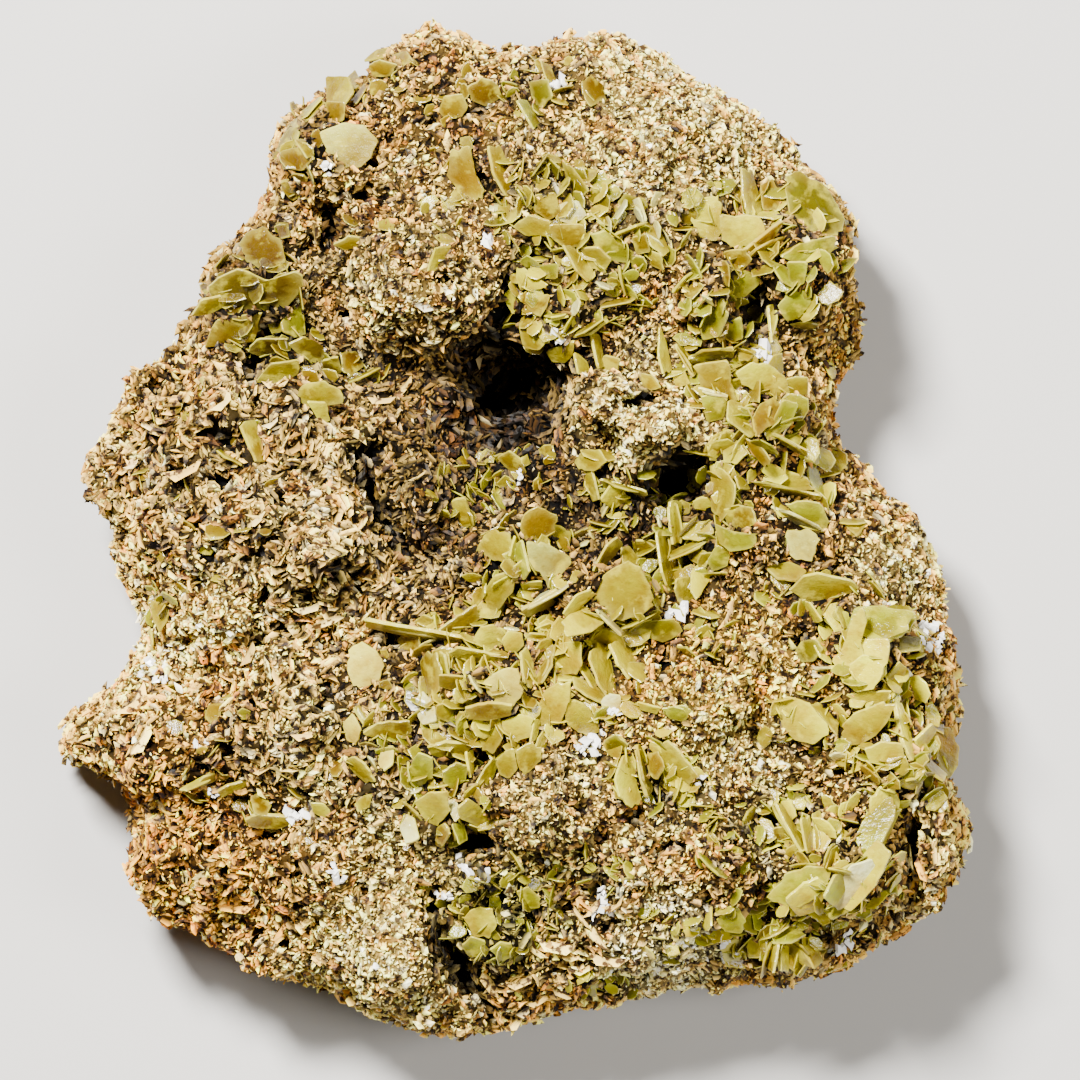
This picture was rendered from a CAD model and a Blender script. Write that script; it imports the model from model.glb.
"""Wulfenite on dolomite: the rock's sugary skin of saddle dolomite crystals, the tabular wulfenite
plates that grow over it, and a few white calcite grains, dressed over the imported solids.

Places on the plan are sheet points: tenths of a millimetre, X to the right and Y down. Sizes are in
metres unless a name says millimetres.
"""

import math

import bpy
import numpy as np
from bpy.props import FloatProperty, FloatVectorProperty, IntProperty, PointerProperty
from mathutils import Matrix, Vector, noise
from mathutils.bvhtree import BVHTree


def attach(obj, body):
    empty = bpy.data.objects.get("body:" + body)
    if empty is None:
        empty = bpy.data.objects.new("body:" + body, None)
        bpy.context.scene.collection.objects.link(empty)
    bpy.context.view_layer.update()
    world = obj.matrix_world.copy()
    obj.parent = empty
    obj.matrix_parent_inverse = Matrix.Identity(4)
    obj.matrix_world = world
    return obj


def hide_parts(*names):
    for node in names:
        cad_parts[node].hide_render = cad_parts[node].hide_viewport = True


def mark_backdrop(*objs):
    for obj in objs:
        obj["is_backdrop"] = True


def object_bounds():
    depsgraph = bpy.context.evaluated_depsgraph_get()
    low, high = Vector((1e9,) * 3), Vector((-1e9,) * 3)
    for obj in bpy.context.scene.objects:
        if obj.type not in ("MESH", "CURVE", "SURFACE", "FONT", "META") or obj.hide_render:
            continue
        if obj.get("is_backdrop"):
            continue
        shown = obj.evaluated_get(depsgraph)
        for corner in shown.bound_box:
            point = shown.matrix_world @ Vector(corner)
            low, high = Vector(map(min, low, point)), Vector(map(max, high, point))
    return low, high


bl_info = {
    "name": "Wulfenite on dolomite",
    "version": (1, 0, 0),
    "blender": (4, 5, 0),
    "location": "View3D > Sidebar > Mineral",
    "description": "Grows dolomite and wulfenite crystals on a packed rock",
    "category": "Object",
}

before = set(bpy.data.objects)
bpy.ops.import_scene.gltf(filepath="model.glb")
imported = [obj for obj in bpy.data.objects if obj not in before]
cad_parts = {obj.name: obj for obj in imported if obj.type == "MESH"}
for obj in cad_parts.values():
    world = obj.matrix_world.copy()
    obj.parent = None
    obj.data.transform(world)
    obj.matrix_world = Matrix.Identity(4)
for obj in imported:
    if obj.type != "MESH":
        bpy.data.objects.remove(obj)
CAD_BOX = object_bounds()
ROCK_NODE = "dolomite_matrix"

MM = 0.001
TENTH = 0.0001
DOWN = Vector((0.0, 0.0, -1.0))
SHEET_CENTRE = (514.0, 534.0)  # the sheet point over the origin
SHEET_SIDE = 1080  # the camera's field is a square of this side on the sheet
VUG = (515, 405, 85, 85)  # the pocket's middle and reach: its own darkness is kept
DARK_VUG = (480, 410, 90, 70)  # where the pocket has few blades
ABOVE = 0.08  # a height over everything, from which the rock is sounded
LOWEST_SEAT = 17.0 * MM  # no plate sits lower on the rock
FALLBACK_SEAT = 19.0 * MM  # where a plate looks for rock if none is under it
HIGH_SHARE = 0.76  # the share of a plate's rim that is clear of the rock
PLATE_REACH = 70  # no plate's corner is further than this from its middle
STEEP = 0.45  # a face is steep where its normal rises less than this
FLANK_TOP = 28.0 * MM  # steep faces under this height are the specimen's sides
FLANK_FOOT = 22.0 * MM  # and grow duller under this one
FLANK_AREA = 0.0088  # of the sides, in square metres
FLANK_GRAINS = 7000
RIM_SIDES = 8  # of a small wulfenite plate
SHARDS = 6  # in each calcite grain
BLADE_SHARE = 0.78  # the share of blades that grow
LENS_SEED, PLATE_SEED, LISTED_SEED, CROWD_SEED, RIM_SEED, SHARD_SEED = 13, 5, 8, 21, 34, 9

# Wulfenite plates by cluster, a row each: the finish, the tilt of the face from level and the
# bearing it leans towards, both in degrees, and the corners of the face on the sheet as x,y.
PLATES = {
    "crest": [
        "amber 35 250 368,66 378,60 397,65 392,76 373,77",
        "lemon 50 114 362,60 376,48 390,46 384,57",
        "amber 50 160 392,54 406,50 414,62 402,68"],
    "brow_edge": [
        "lemon 45 150 326,75 349,75 354,92 340,108 326,100",
        "lemon 60 100 345,76 354,67 361,82 352,90",
        "lemon 58 127 300,112 318,98 328,104 306,122",
        "amber 40 200 326,102 346,103 344,122 330,124",
        "orange 64 150 350,100 364,82 368,84 356,103"],
    "brow_plate": [
        "grey 18 300 321,134 344,124 366,128 378,142 372,158 356,173 338,166 326,152"],
    "brow_lower": [
        "lemon 55 148 276,150 290,128 301,128 297,146 284,158",
        "orange 40 190 282,152 302,148 316,160 304,172 284,170",
        "amber 50 37 296,142 304,140 316,158 308,160",
        "amber 35 230 280,180 292,178 301,196 292,200 282,190"],
    "crest_pair": [
        "amber 30 250 439,112 444,98 462,95 469,108 462,119 446,121",
        "orange 34 300 467,90 480,80 498,84 502,98 486,108 472,102"],
    "forehead_left": [
        "amber 25 200 448,176 452,152 470,148 475,176 484,192 481,205 458,197",
        "lemon 45 120 460,140 470,138 474,150 464,154"],
    "forehead_blade": [
        "amber 48 18 487,150 498,147 508,168 513,196 506,200 494,178"],
    "brow_lens": [
        "amber 40 270 334,245 350,237 368,240 360,249 344,251"],
    "left_shelf": [
        "orange 34 120 238,246 246,232 264,226 281,240 287,262 268,273 246,262",
        "amber 42 262 209,286 240,268 268,282 299,272 306,288 284,309 246,313 214,304",
        "lemon 48 294 192,316 202,300 222,296 227,305 208,314",
        "orange 50 100 275,222 288,222 290,236 280,238"],
    "shelf_lower": [
        "amber 42 240 204,346 214,320 262,313 258,323 232,340 214,345",
        "orange 56 280 246,350 258,339 288,337 284,351 262,357",
        "green 35 20 281,322 300,297 306,334 296,338 283,332"],
    "shelf_foot": [
        "amber 45 300 288,344 304,336 326,352 320,363 304,360",
        "lemon 42 262 256,381 270,364 300,359 299,374 280,383",
        "orange 45 30 340,352 356,351 364,366 350,377 342,370",
        "amber 62 250 322,360 338,356 342,372 326,374"],
    "knob_plate": [
        "lemon 26 255 297,400 303,386 326,381 342,391 345,404 322,407 309,409",
        "pale 40 300 309,402 328,403 331,420 322,425"],
    "lobe_blade": [
        "lemon 50 20 241,424 256,419 262,446 266,462 257,462"],
    "crest_gold": [
        "orange 30 30 581,84 590,77 602,87 606,103 590,109 582,97"],
    "crest_stem": [
        "amber 50 26 540,62 549,66 557,85 547,84",
        "olive 40 200 530,84 548,81 553,100 540,113 532,97",
        "green 60 31 517,104 525,101 541,128 533,132"],
    "forehead_fan": [
        "olive 34 200 562,164 573,171 589,194 580,203 569,192",
        "amber 30 260 536,198 555,196 561,216 548,223 534,213",
        "white 15 300 558,206 578,203 587,219 570,227 555,222",
        "lemon 35 240 513,229 530,217 550,224 557,240 541,235 526,238",
        "amber 32 280 549,227 582,227 590,244 566,252 551,241",
        "green 36 310 590,238 604,233 619,246 633,254 635,265 612,263 597,254",
        "lemon 50 30 561,246 584,255 593,276 588,285 575,273",
        "lemon 45 250 580,250 598,249 611,262 604,273 590,269",
        "green 55 200 535,268 560,265 557,281 543,281",
        "lemon 60 59 589,215 606,217 617,231 602,227"],
    "forehead_right": [
        "lemon 45 40 642,225 653,223 669,254 662,259 649,248",
        "amber 40 250 631,240 644,236 650,254 636,257",
        "lemon 50 214 647,252 660,257 663,273 650,267",
        "white 60 197 633,203 638,200 646,224 640,226"],
    "forehead_round": [
        "olive 30 60 617,205 624,196 636,200 633,212 622,213"],
    "cheek_fan": [
        "pale 40 200 517,268 526,271 548,287 544,291 521,292 517,280",
        "amber 36 160 523,295 550,296 547,308 540,319 528,312",
        "lemon 34 220 519,326 538,321 550,343 540,351 523,348",
        "lemon 55 250 546,352 574,342 566,363 552,362",
        "pale 66 110 544,321 567,314 568,318 546,324"],
    "cheek_low": [
        "amber 40 230 596,372 604,356 620,360 617,374",
        "lemon 50 30 572,352 586,362 589,373 578,375",
        "lemon 66 11 590,334 598,336 604,368 597,370",
        "lemon 60 120 572,338 590,330 606,318 608,322 590,336"],
    "cheek_strip": [
        "pale 60 10 658,326 664,340 671,372 662,376 657,356",
        "lemon 60 30 674,345 680,345 696,374 692,378",
        "pale 30 260 670,372 684,372 690,384 676,388",
        "amber 40 220 640,374 652,376 660,388 652,392 642,386"],
    "pale_slab": [
        "pale 20 290 686,213 702,200 717,196 721,208 721,232 716,243 700,242 693,228",
        "pale 24 270 718,216 758,218 765,232 748,247 733,251 720,240",
        "lemon 50 13 740,170 750,171 759,200 761,218 746,217 741,196",
        "amber 34 40 759,187 772,180 781,196 777,211 762,211",
        "orange 50 312 739,255 768,231 781,222 771,241 752,258"],
    "brown_corner": [
        "olive 34 45 783,178 800,172 824,186 837,204 845,222 838,236 816,238 797,227 787,212"],
    "rim_fan": [
        "green 36 330 778,258 800,244 833,237 835,250 818,262 800,267",
        "green 40 250 785,263 806,264 803,286 789,288",
        "green 50 38 767,262 784,268 793,290 780,284",
        "green 28 270 784,293 804,290 810,304 797,319 784,321 777,308",
        "pale 66 10 767,306 774,304 778,342 770,343"],
    "cheek_upper": [
        "amber 45 240 721,253 744,250 751,262 740,273 727,268",
        "green 36 290 721,284 744,270 761,282 744,297 730,299"],
    "neck": [
        "green 44 200 699,318 722,299 727,316 719,338 702,341",
        "green 40 250 722,323 740,318 743,338 728,345",
        "lemon 62 281 687,359 710,352 733,349 733,357 710,361 690,364",
        "amber 34 250 693,366 728,360 731,386 737,402 712,393 700,386",
        "green 28 290 699,395 727,398 723,419 706,423",
        "lemon 50 37 727,400 738,403 757,430 750,439 725,421",
        "pale 32 290 735,374 750,363 768,365 784,378 789,394 776,399 756,393 740,385",
        "amber 40 30 758,405 776,396 783,402 780,420 764,431 753,438 751,420",
        "green 30 300 781,400 796,404 790,424 776,435 767,430",
        "lemon 68 240 764,430 785,440 807,452 806,458 784,446",
        "amber 50 220 745,438 756,442 771,462 764,467 750,452",
        "white 66 254 698,388 727,396 727,400 698,392",
        "lemon 45 60 736,344 756,352 748,362 738,362"],
    "neck_lower": [
        "pale 30 160 721,446 736,440 747,454 735,465 723,463",
        "lemon 50 184 711,463 724,470 735,486 733,506 722,521 711,510",
        "lemon 62 36 729,466 744,481 749,490 738,489"],
    "neck_edge": [
        "pale 38 275 759,470 768,464 806,478 813,490 780,489",
        "green 60 21 806,459 812,462 826,496 820,500 808,480",
        "green 36 270 783,502 818,500 829,524 822,533 800,519",
        "lemon 66 255 747,480 784,488 820,496 820,500 784,494",
        "white 66 244 768,505 796,517 822,530 818,533 792,523"],
    "step_plate": [
        "grey 18 220 785,531 806,528 819,538 812,561 794,560 783,546"],
    "step_low": [
        "amber 45 200 736,506 752,508 755,524 742,533 731,524",
        "green 30 200 713,524 732,532 757,534 752,548 730,552 720,544",
        "green 35 260 716,545 730,552 726,566 712,572 706,560"],
    "step_edge": [
        "amber 55 90 838,519 864,519 868,524 856,536 846,528"],
    "step_sheaf": [
        "bright 30 120 680,524 712,521 714,534 700,541 682,540",
        "pale 60 3 668,502 680,500 681,540 672,546 668,520",
        "bright 76 10 655,532 664,530 675,590 668,594 660,570",
        "lemon 60 120 668,554 700,538 704,542 672,560",
        "lemon 45 170 683,545 700,548 712,556 704,568 690,560",
        "lemon 45 340 676,578 692,576 696,600 680,606 674,590",
        "pale 38 60 690,572 704,556 708,574 696,600 690,590"],
    "middle_fan": [
        "lemon 22 250 592,598 604,574 626,560 640,568 650,588 653,604 640,616 612,622 600,614",
        "lemon 50 34 620,548 628,546 640,560 636,572 622,562",
        "lemon 60 297 614,630 636,618 658,608 660,612 640,624 618,634",
        "olive 30 270 640,622 676,618 682,632 664,642 636,634",
        "lemon 55 21 640,572 648,574 660,606 654,610"],
    "middle_top": [
        "amber 55 250 630,540 646,540 656,548 650,560 636,554"],
    "middle_horn": [
        "amber 60 330 592,570 606,545 616,536 622,544 608,558 600,573"],
    "step_left": [
        "amber 36 300 520,528 524,514 538,506 558,516 556,530 540,541 524,540",
        "lemon 28 210 476,552 484,536 494,528 510,534 514,548 508,562 494,560",
        "grey 24 280 527,541 542,542 570,556 572,562 556,580 548,588 540,572 528,566",
        "lemon 40 250 484,592 494,576 514,570 514,590 500,608 488,612",
        "green 55 192 514,545 522,540 530,570 524,580 518,566",
        "lemon 50 30 548,524 560,526 570,532 568,552 560,548",
        "lemon 60 277 520,582 542,580 542,588 524,592"],
    "white_edge": [
        "grey 62 300 520,608 530,604 578,576 579,583 548,602 526,616",
        "pale 50 312 562,612 576,594 590,588 594,593 582,605 566,617"],
    "petals": [
        "bright 40 60 560,620 580,606 596,608 604,622 590,632 566,636",
        "bright 50 200 552,672 556,642 580,640 582,664 576,674",
        "bright 60 16 587,656 596,642 605,646 617,690 608,697 598,684",
        "bright 60 28 608,644 617,640 633,656 635,672 628,679 616,664",
        "bright 64 32 576,662 582,660 597,684 592,688",
        "lemon 48 251 586,632 604,626 620,634 626,646 612,650 596,642",
        "bright 34 240 536,710 544,690 560,680 572,680 570,700 560,722 540,724",
        "bright 40 300 564,700 574,698 588,704 600,730 584,734 566,722",
        "lemon 55 57 572,676 590,682 604,694 602,702 588,696 574,686",
        "white 30 280 600,700 608,692 620,694 621,708 612,712 602,708"],
    "petal_left": [
        "lemon 50 10 520,652 526,646 533,664 531,688 524,682",
        "amber 55 150 534,684 540,668 552,654 552,664 542,682",
        "cream 28 250 484,680 494,672 508,666 518,668 524,690 514,706 498,700 488,692"],
    "centre_left": [
        "amber 50 304 438,630 456,616 476,604 481,616 464,631 446,638",
        "pale 30 270 474,640 480,626 494,624 504,632 506,644 490,650 478,648",
        "pale 34 300 502,640 508,630 522,632 524,644 516,652 506,650",
        "lemon 60 262 450,652 458,646 484,650 506,656 500,662 480,662 462,658",
        "lemon 55 276 524,640 530,632 546,634 540,640",
        "pale 60 273 534,628 548,622 562,624 560,632 544,633"],
    "long_blade": [
        "pale 74 262 366,619 400,625 440,632 462,637 461,643 430,641 396,632 366,626",
        "amber 45 250 414,622 424,614 434,618 434,628 424,632",
        "orange 45 200 398,640 404,632 420,636 420,648 408,654"],
    "centre_stalks": [
        "amber 50 180 421,660 428,650 438,652 443,670 440,692 428,696 424,680",
        "lemon 60 193 438,648 446,654 450,676 444,678",
        "amber 55 266 440,672 462,674 468,682 454,688 440,684",
        "white 30 150 415,700 424,690 436,702 438,720 424,724 418,714",
        "lemon 40 300 436,704 456,698 460,710 452,722 438,716"],
    "centre_low": [
        "amber 50 274 464,706 486,700 512,702 512,712 488,718 468,716",
        "lemon 20 270 478,722 500,716 504,736 494,752 482,748",
        "pale 25 250 502,718 520,712 534,716 532,734 516,740 504,732",
        "lemon 30 240 496,760 506,748 514,746 518,768 510,776 500,772",
        "lemon 30 300 516,748 530,740 542,746 540,760 524,774 518,764",
        "pale 60 349 534,716 540,718 536,738 530,740"],
    "centre_foot": [
        "lemon 58 275 428,744 448,739 474,742 466,750 446,757 432,753",
        "green 44 250 410,764 420,750 434,756 434,776 422,784 412,782",
        "green 42 290 442,770 456,760 468,764 466,778 452,786 444,780",
        "pale 68 6 466,750 472,748 474,772 470,776",
        "lemon 50 333 476,782 484,768 492,756 498,760 492,780 484,786"],
    "centre_skirt": [
        "pale 44 250 416,800 430,790 450,788 452,806 440,824 428,820",
        "lemon 46 310 458,806 468,796 484,806 492,824 484,828 470,820 460,816",
        "amber 50 200 436,826 446,820 452,830 444,844 438,840",
        "green 55 18 452,822 464,820 468,838 460,842",
        "white 30 130 445,800 456,796 463,812 456,820"],
    "left_white": [
        "white 34 140 401,826 408,812 416,816 421,836 408,843"],
    "pale_plate": [
        "cream 20 250 348,668 350,648 364,641 378,650 386,664 380,680 364,688 354,684"],
    "skirt_blade": [
        "amber 48 278 364,731 380,720 410,718 414,728 396,740 376,736",
        "cream 34 200 344,722 354,712 363,728 358,744 348,738",
        "pale 60 32 354,706 360,704 370,722 366,724"],
    "skirt_horn": [
        "lemon 50 225 346,758 356,755 368,763 377,780 368,781 356,771",
        "cream 45 120 379,764 384,744 395,744 395,762 386,769"],
    "skirt_leaf": [
        "lemon 45 40 356,802 364,794 374,792 370,806 360,810"],
    "skirt_star": [
        "amber 50 269 246,818 258,812 292,815 297,822 276,827 252,825",
        "orange 40 60 252,796 262,791 273,804 268,815 256,813"],
    "skirt_thin": [
        "lemon 55 291 218,790 228,784 250,778 254,781 236,790 222,796",
        "amber 50 298 196,786 204,776 216,772 218,778 206,784"],
    "waist": [
        "lemon 40 200 150,602 162,598 171,606 168,620 160,633 154,622"],
    "low_sheaf": [
        "pale 46 10 613,776 622,752 632,756 635,782 641,800 630,807 618,796",
        "lemon 72 8 635,742 642,744 651,790 646,795 640,776",
        "lemon 36 230 652,744 668,738 684,756 698,774 688,782 668,764",
        "pale 26 250 660,768 672,762 690,780 684,797 668,790 660,782",
        "amber 45 180 646,752 658,750 664,764 656,778 648,772"],
    "low_leaf": [
        "olive 40 250 604,738 616,732 628,744 618,752 606,748"],
    "leaf_edge": [
        "green 40 262 660,706 682,703 690,708 684,720 668,716",
        "pale 50 254 636,700 660,706 656,712 640,708"],
    "shield": [
        "pale 18 250 776,704 786,695 806,700 826,722 827,732 812,743 792,738 780,724",
        "lemon 54 40 808,704 818,700 838,722 836,735 826,724"],
    "hip_fan": [
        "lemon 38 250 840,724 852,712 880,700 892,704 884,722 868,740 848,744 840,736",
        "bright 50 120 852,714 862,702 874,698 884,700 866,712",
        "pale 34 280 862,748 880,740 900,742 902,756 892,766 876,764 866,758",
        "pale 60 20 891,700 898,703 913,744 909,761 900,744",
        "green 40 290 898,768 920,762 926,776 910,787 900,784",
        "pale 55 322 912,738 930,722 934,730 916,752"],
    "hip_edge": [
        "amber 45 20 934,728 950,728 960,748 958,768 948,780 937,764 933,744",
        "lemon 66 45 919,760 926,757 945,774 942,781 930,773"],
    "shoulder": [
        "pale 28 230 842,640 850,614 860,606 864,620 858,642 864,660 850,668 838,656",
        "green 30 80 852,620 872,608 906,606 914,618 906,632 888,640 866,638 852,632",
        "pale 24 280 846,664 860,654 878,656 884,672 870,688 852,686",
        "lemon 42 310 884,676 896,660 904,666 900,684 890,694 878,690",
        "olive 50 92 884,644 900,636 920,638 918,650 898,652",
        "lemon 40 262 844,694 866,690 888,690 884,700 862,706"],
    "step_right": [
        "lemon 50 270 788,590 800,576 816,572 850,580 856,588 836,597 806,601",
        "lemon 50 80 764,568 790,562 806,572 796,581 776,579",
        "pale 66 213 800,600 808,602 820,620 814,624"],
    "olive_plate": [
        "olive 40 200 794,650 800,640 814,638 821,648 812,661 800,661"],
    "green_fold": [
        "pale 40 330 868,796 880,784 892,788 900,806 890,828 878,852 866,858 866,830",
        "white 40 300 848,862 868,856 877,868 862,890 836,907 828,898 838,876",
        "green 50 330 820,894 832,870 852,858 846,880 832,904",
        "pale 42 290 782,896 800,880 816,874 826,884 814,908 796,914",
        "green 36 220 774,882 792,868 816,862 812,876 794,887"],
    "pocket_pair": [
        "lemon 66 30 773,800 780,803 800,838 807,850 800,852 782,820",
        "lemon 64 8 797,816 806,813 811,840 812,853 804,850",
        "pale 40 200 780,800 790,798 796,814 788,822 780,812",
        "lemon 40 20 810,812 818,808 820,822 812,830",
        "orange 40 260 772,826 784,824 794,838 784,846 774,842"],
    "pocket_blade": [
        "lemon 66 340 822,866 828,846 834,842 836,850 828,868"],
    "low_green": [
        "green 38 270 715,918 726,906 736,904 745,918 740,931 722,929",
        "green 50 30 738,902 746,904 759,926 756,935 744,929"],
    "low_pale": [
        "white 25 280 720,944 736,938 748,944 740,960 724,962"],
    "toe_fan": [
        "lemon 52 225 784,942 800,945 813,966 804,966 790,953",
        "lemon 70 169 766,968 771,944 779,941 774,972",
        "pale 60 1 780,944 788,946 788,972 780,970",
        "amber 50 28 800,936 812,940 823,962 814,969 804,951",
        "green 50 100 766,934 790,927 807,934 790,943 772,943"],
    "green_nodule": [
        "pale 30 250 464,916 474,904 492,906 498,922 490,936 474,934",
        "green 40 270 462,944 472,934 486,940 484,954 470,956",
        "green 40 290 490,948 500,940 512,942 514,954 500,960"],
    "druse_plate": [
        "green 30 270 516,890 528,884 540,896 540,906 526,906"],
    "vug_floor": [
        "amber 40 250 497,457 510,451 524,461 527,473 510,471"],
    "below_vug": [
        "lemon 40 250 452,500 466,497 474,524 464,529 455,516"],
    "bridge_foot": [
        "lemon 40 200 574,462 584,450 600,450 607,462 594,472 580,470",
        "lemon 60 200 583,472 592,470 600,500 593,502",
        "lemon 68 250 600,479 646,491 646,496 604,487",
        "pale 50 300 600,500 612,482 622,486 628,500 612,509"],
    "fold_glass": [
        "green 30 120 852,838 862,818 874,800 886,790 894,802 892,816 882,836 874,850 860,852",
        "green 20 260 764,894 784,870 806,862 830,864 826,880 812,896 796,904 776,900"],
    "left_blades": [
        "pale 40 90 180,789 196,780 214,770 212,780 190,790",
        "pale 40 270 312,800 326,802 334,812 324,816 314,810",
        "amber 40 90 206,716 210,704 224,702 222,718 212,722"],
    "fold_bridge": [
        "pale 22 200 874,836 888,850 876,880 850,908 836,904 846,868",
        "green 30 200 838,880 856,872 866,884 852,906 830,918 820,908"],
    "right_broad": [
        "pale 18 200 830,659 845,640 887,636 884,664 873,688 853,691 839,679",
        "green 16 200 839,634 853,606 884,604 914,612 905,630 880,640 862,638"],
}

# Zones of the rock, as soft ellipses on the sheet: x, y, half width, half height, turn in degrees,
# colour, share of coarse blades, size of the blades in millimetres, weight.
ZONES = [
    (655, 140, 110, 80, 25, "cream", 0.02, 1.0, 3.0),
    (560, 120, 60, 60, 0, "tan", 0.45, 1.2, 1.0),
    (430, 80, 80, 50, 0, "tan", 0.45, 1.1, 1.0),
    (345, 190, 80, 80, 0, "tan", 0.60, 1.3, 1.0),
    (425, 270, 90, 82, 0, "grey", 0.30, 1.0, 1.6),
    (400, 300, 60, 40, 0, "cream", 0.30, 1.0, 0.9),
    (327, 318, 28, 26, 0, "grey", 0.10, 0.9, 1.2),
    (210, 330, 60, 40, 0, "tan", 0.70, 1.3, 1.0),
    (150, 400, 70, 50, 0, "tan", 0.90, 1.5, 1.0),
    (135, 480, 60, 60, 0, "grey", 0.90, 1.6, 1.0),
    (230, 400, 60, 50, 0, "grey", 1.00, 1.7, 1.2),
    (300, 420, 70, 60, 0, "grey", 1.00, 1.7, 1.3),
    (425, 400, 60, 60, 0, "umber", 1.00, 1.6, 2.0),
    (300, 540, 100, 90, 0, "grey", 0.95, 1.7, 1.4),
    (190, 530, 60, 60, 0, "tan", 0.90, 1.5, 1.0),
    (430, 500, 50, 70, 0, "umber", 0.80, 1.4, 1.6),
    (510, 400, 62, 60, 0, "dark", 0.95, 1.9, 4.0),
    (545, 445, 50, 34, 0, "dark", 0.90, 1.6, 2.4),
    (540, 470, 60, 40, 0, "umber", 0.60, 1.3, 1.0),
    (675, 480, 40, 36, -30, "dark", 0.60, 1.2, 2.0),
    (635, 405, 74, 34, 32, "cream", 0.02, 1.0, 4.0),
    (655, 440, 50, 24, 10, "cream", 0.05, 1.0, 3.0),
    (755, 310, 26, 40, 0, "umber", 0.50, 1.2, 1.5),
    (820, 320, 40, 80, 0, "tan", 0.60, 1.3, 1.0),
    (690, 300, 40, 60, 0, "tan", 0.50, 1.2, 0.8),
    (215, 625, 80, 60, 0, "pink", 0.25, 1.2, 2.6),
    (300, 660, 80, 50, 0, "tan", 0.85, 1.6, 1.0),
    (100, 735, 50, 40, 0, "pink", 0.80, 1.5, 1.3),
    (190, 740, 70, 60, 0, "orange", 0.60, 1.4, 1.0),
    (300, 740, 90, 60, 0, "cream", 0.85, 1.5, 0.9),
    (180, 860, 90, 80, 0, "orange", 0.75, 1.4, 1.7),
    (280, 880, 80, 70, 0, "orange", 0.60, 1.4, 1.3),
    (330, 800, 80, 50, 0, "cream", 0.70, 1.4, 0.9),
    (375, 930, 80, 90, 0, "cream", 0.04, 1.0, 3.0),
    (450, 1000, 40, 40, 0, "grey", 0.40, 1.1, 1.0),
    (490, 910, 60, 50, 0, "druse", 0.50, 1.3, 1.7),
    (520, 990, 50, 40, 0, "tan", 0.85, 1.6, 1.3),
    (580, 925, 60, 50, 0, "pink", 0.95, 1.7, 1.4),
    (655, 930, 46, 44, 0, "pale_green", 0.05, 0.9, 3.4),
    (680, 880, 50, 36, 0, "orange", 0.50, 1.3, 1.0),
    (545, 815, 66, 60, 0, "grey", 0.35, 1.1, 1.6),
    (560, 790, 30, 30, 0, "cream", 0.30, 1.0, 1.0),
    (710, 680, 90, 70, 0, "sand", 0.30, 1.1, 1.5),
    (740, 780, 70, 70, 0, "cream", 0.35, 1.1, 1.2),
    (660, 650, 40, 40, 0, "orange", 0.60, 1.3, 1.0),
    (810, 540, 60, 40, 0, "tan", 0.50, 1.2, 1.0),
    (890, 575, 50, 36, 30, "cream", 0.20, 1.0, 1.6),
    (915, 860, 46, 60, 0, "pink", 0.90, 1.7, 1.3),
    (950, 850, 24, 60, 0, "cream", 0.90, 1.7, 1.0),
    (850, 780, 60, 50, 0, "tan", 0.50, 1.2, 0.8),
    (820, 620, 40, 40, 0, "umber", 0.50, 1.2, 1.0),
    (600, 520, 60, 40, 0, "umber", 0.50, 1.2, 0.7),
    (470, 850, 40, 30, 0, "dark", 0.50, 1.2, 1.5),
    (470, 750, 90, 70, 0, "tan", 0.50, 1.2, 0.6),
]
# What the rock is outside the zones: colour, share, size and weight, as above.
BASE_ZONE = ("tan", 0.6, 1.3, 0.15)

# The rock's lumps: their size in millimetres, a seed and their height in millimetres.
LUMPS = ((11.0, 1.0, 0.9), (4.5, 3.0, 0.6), (1.9, 8.0, 0.4), (0.9, 5.0, 0.2))

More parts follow.
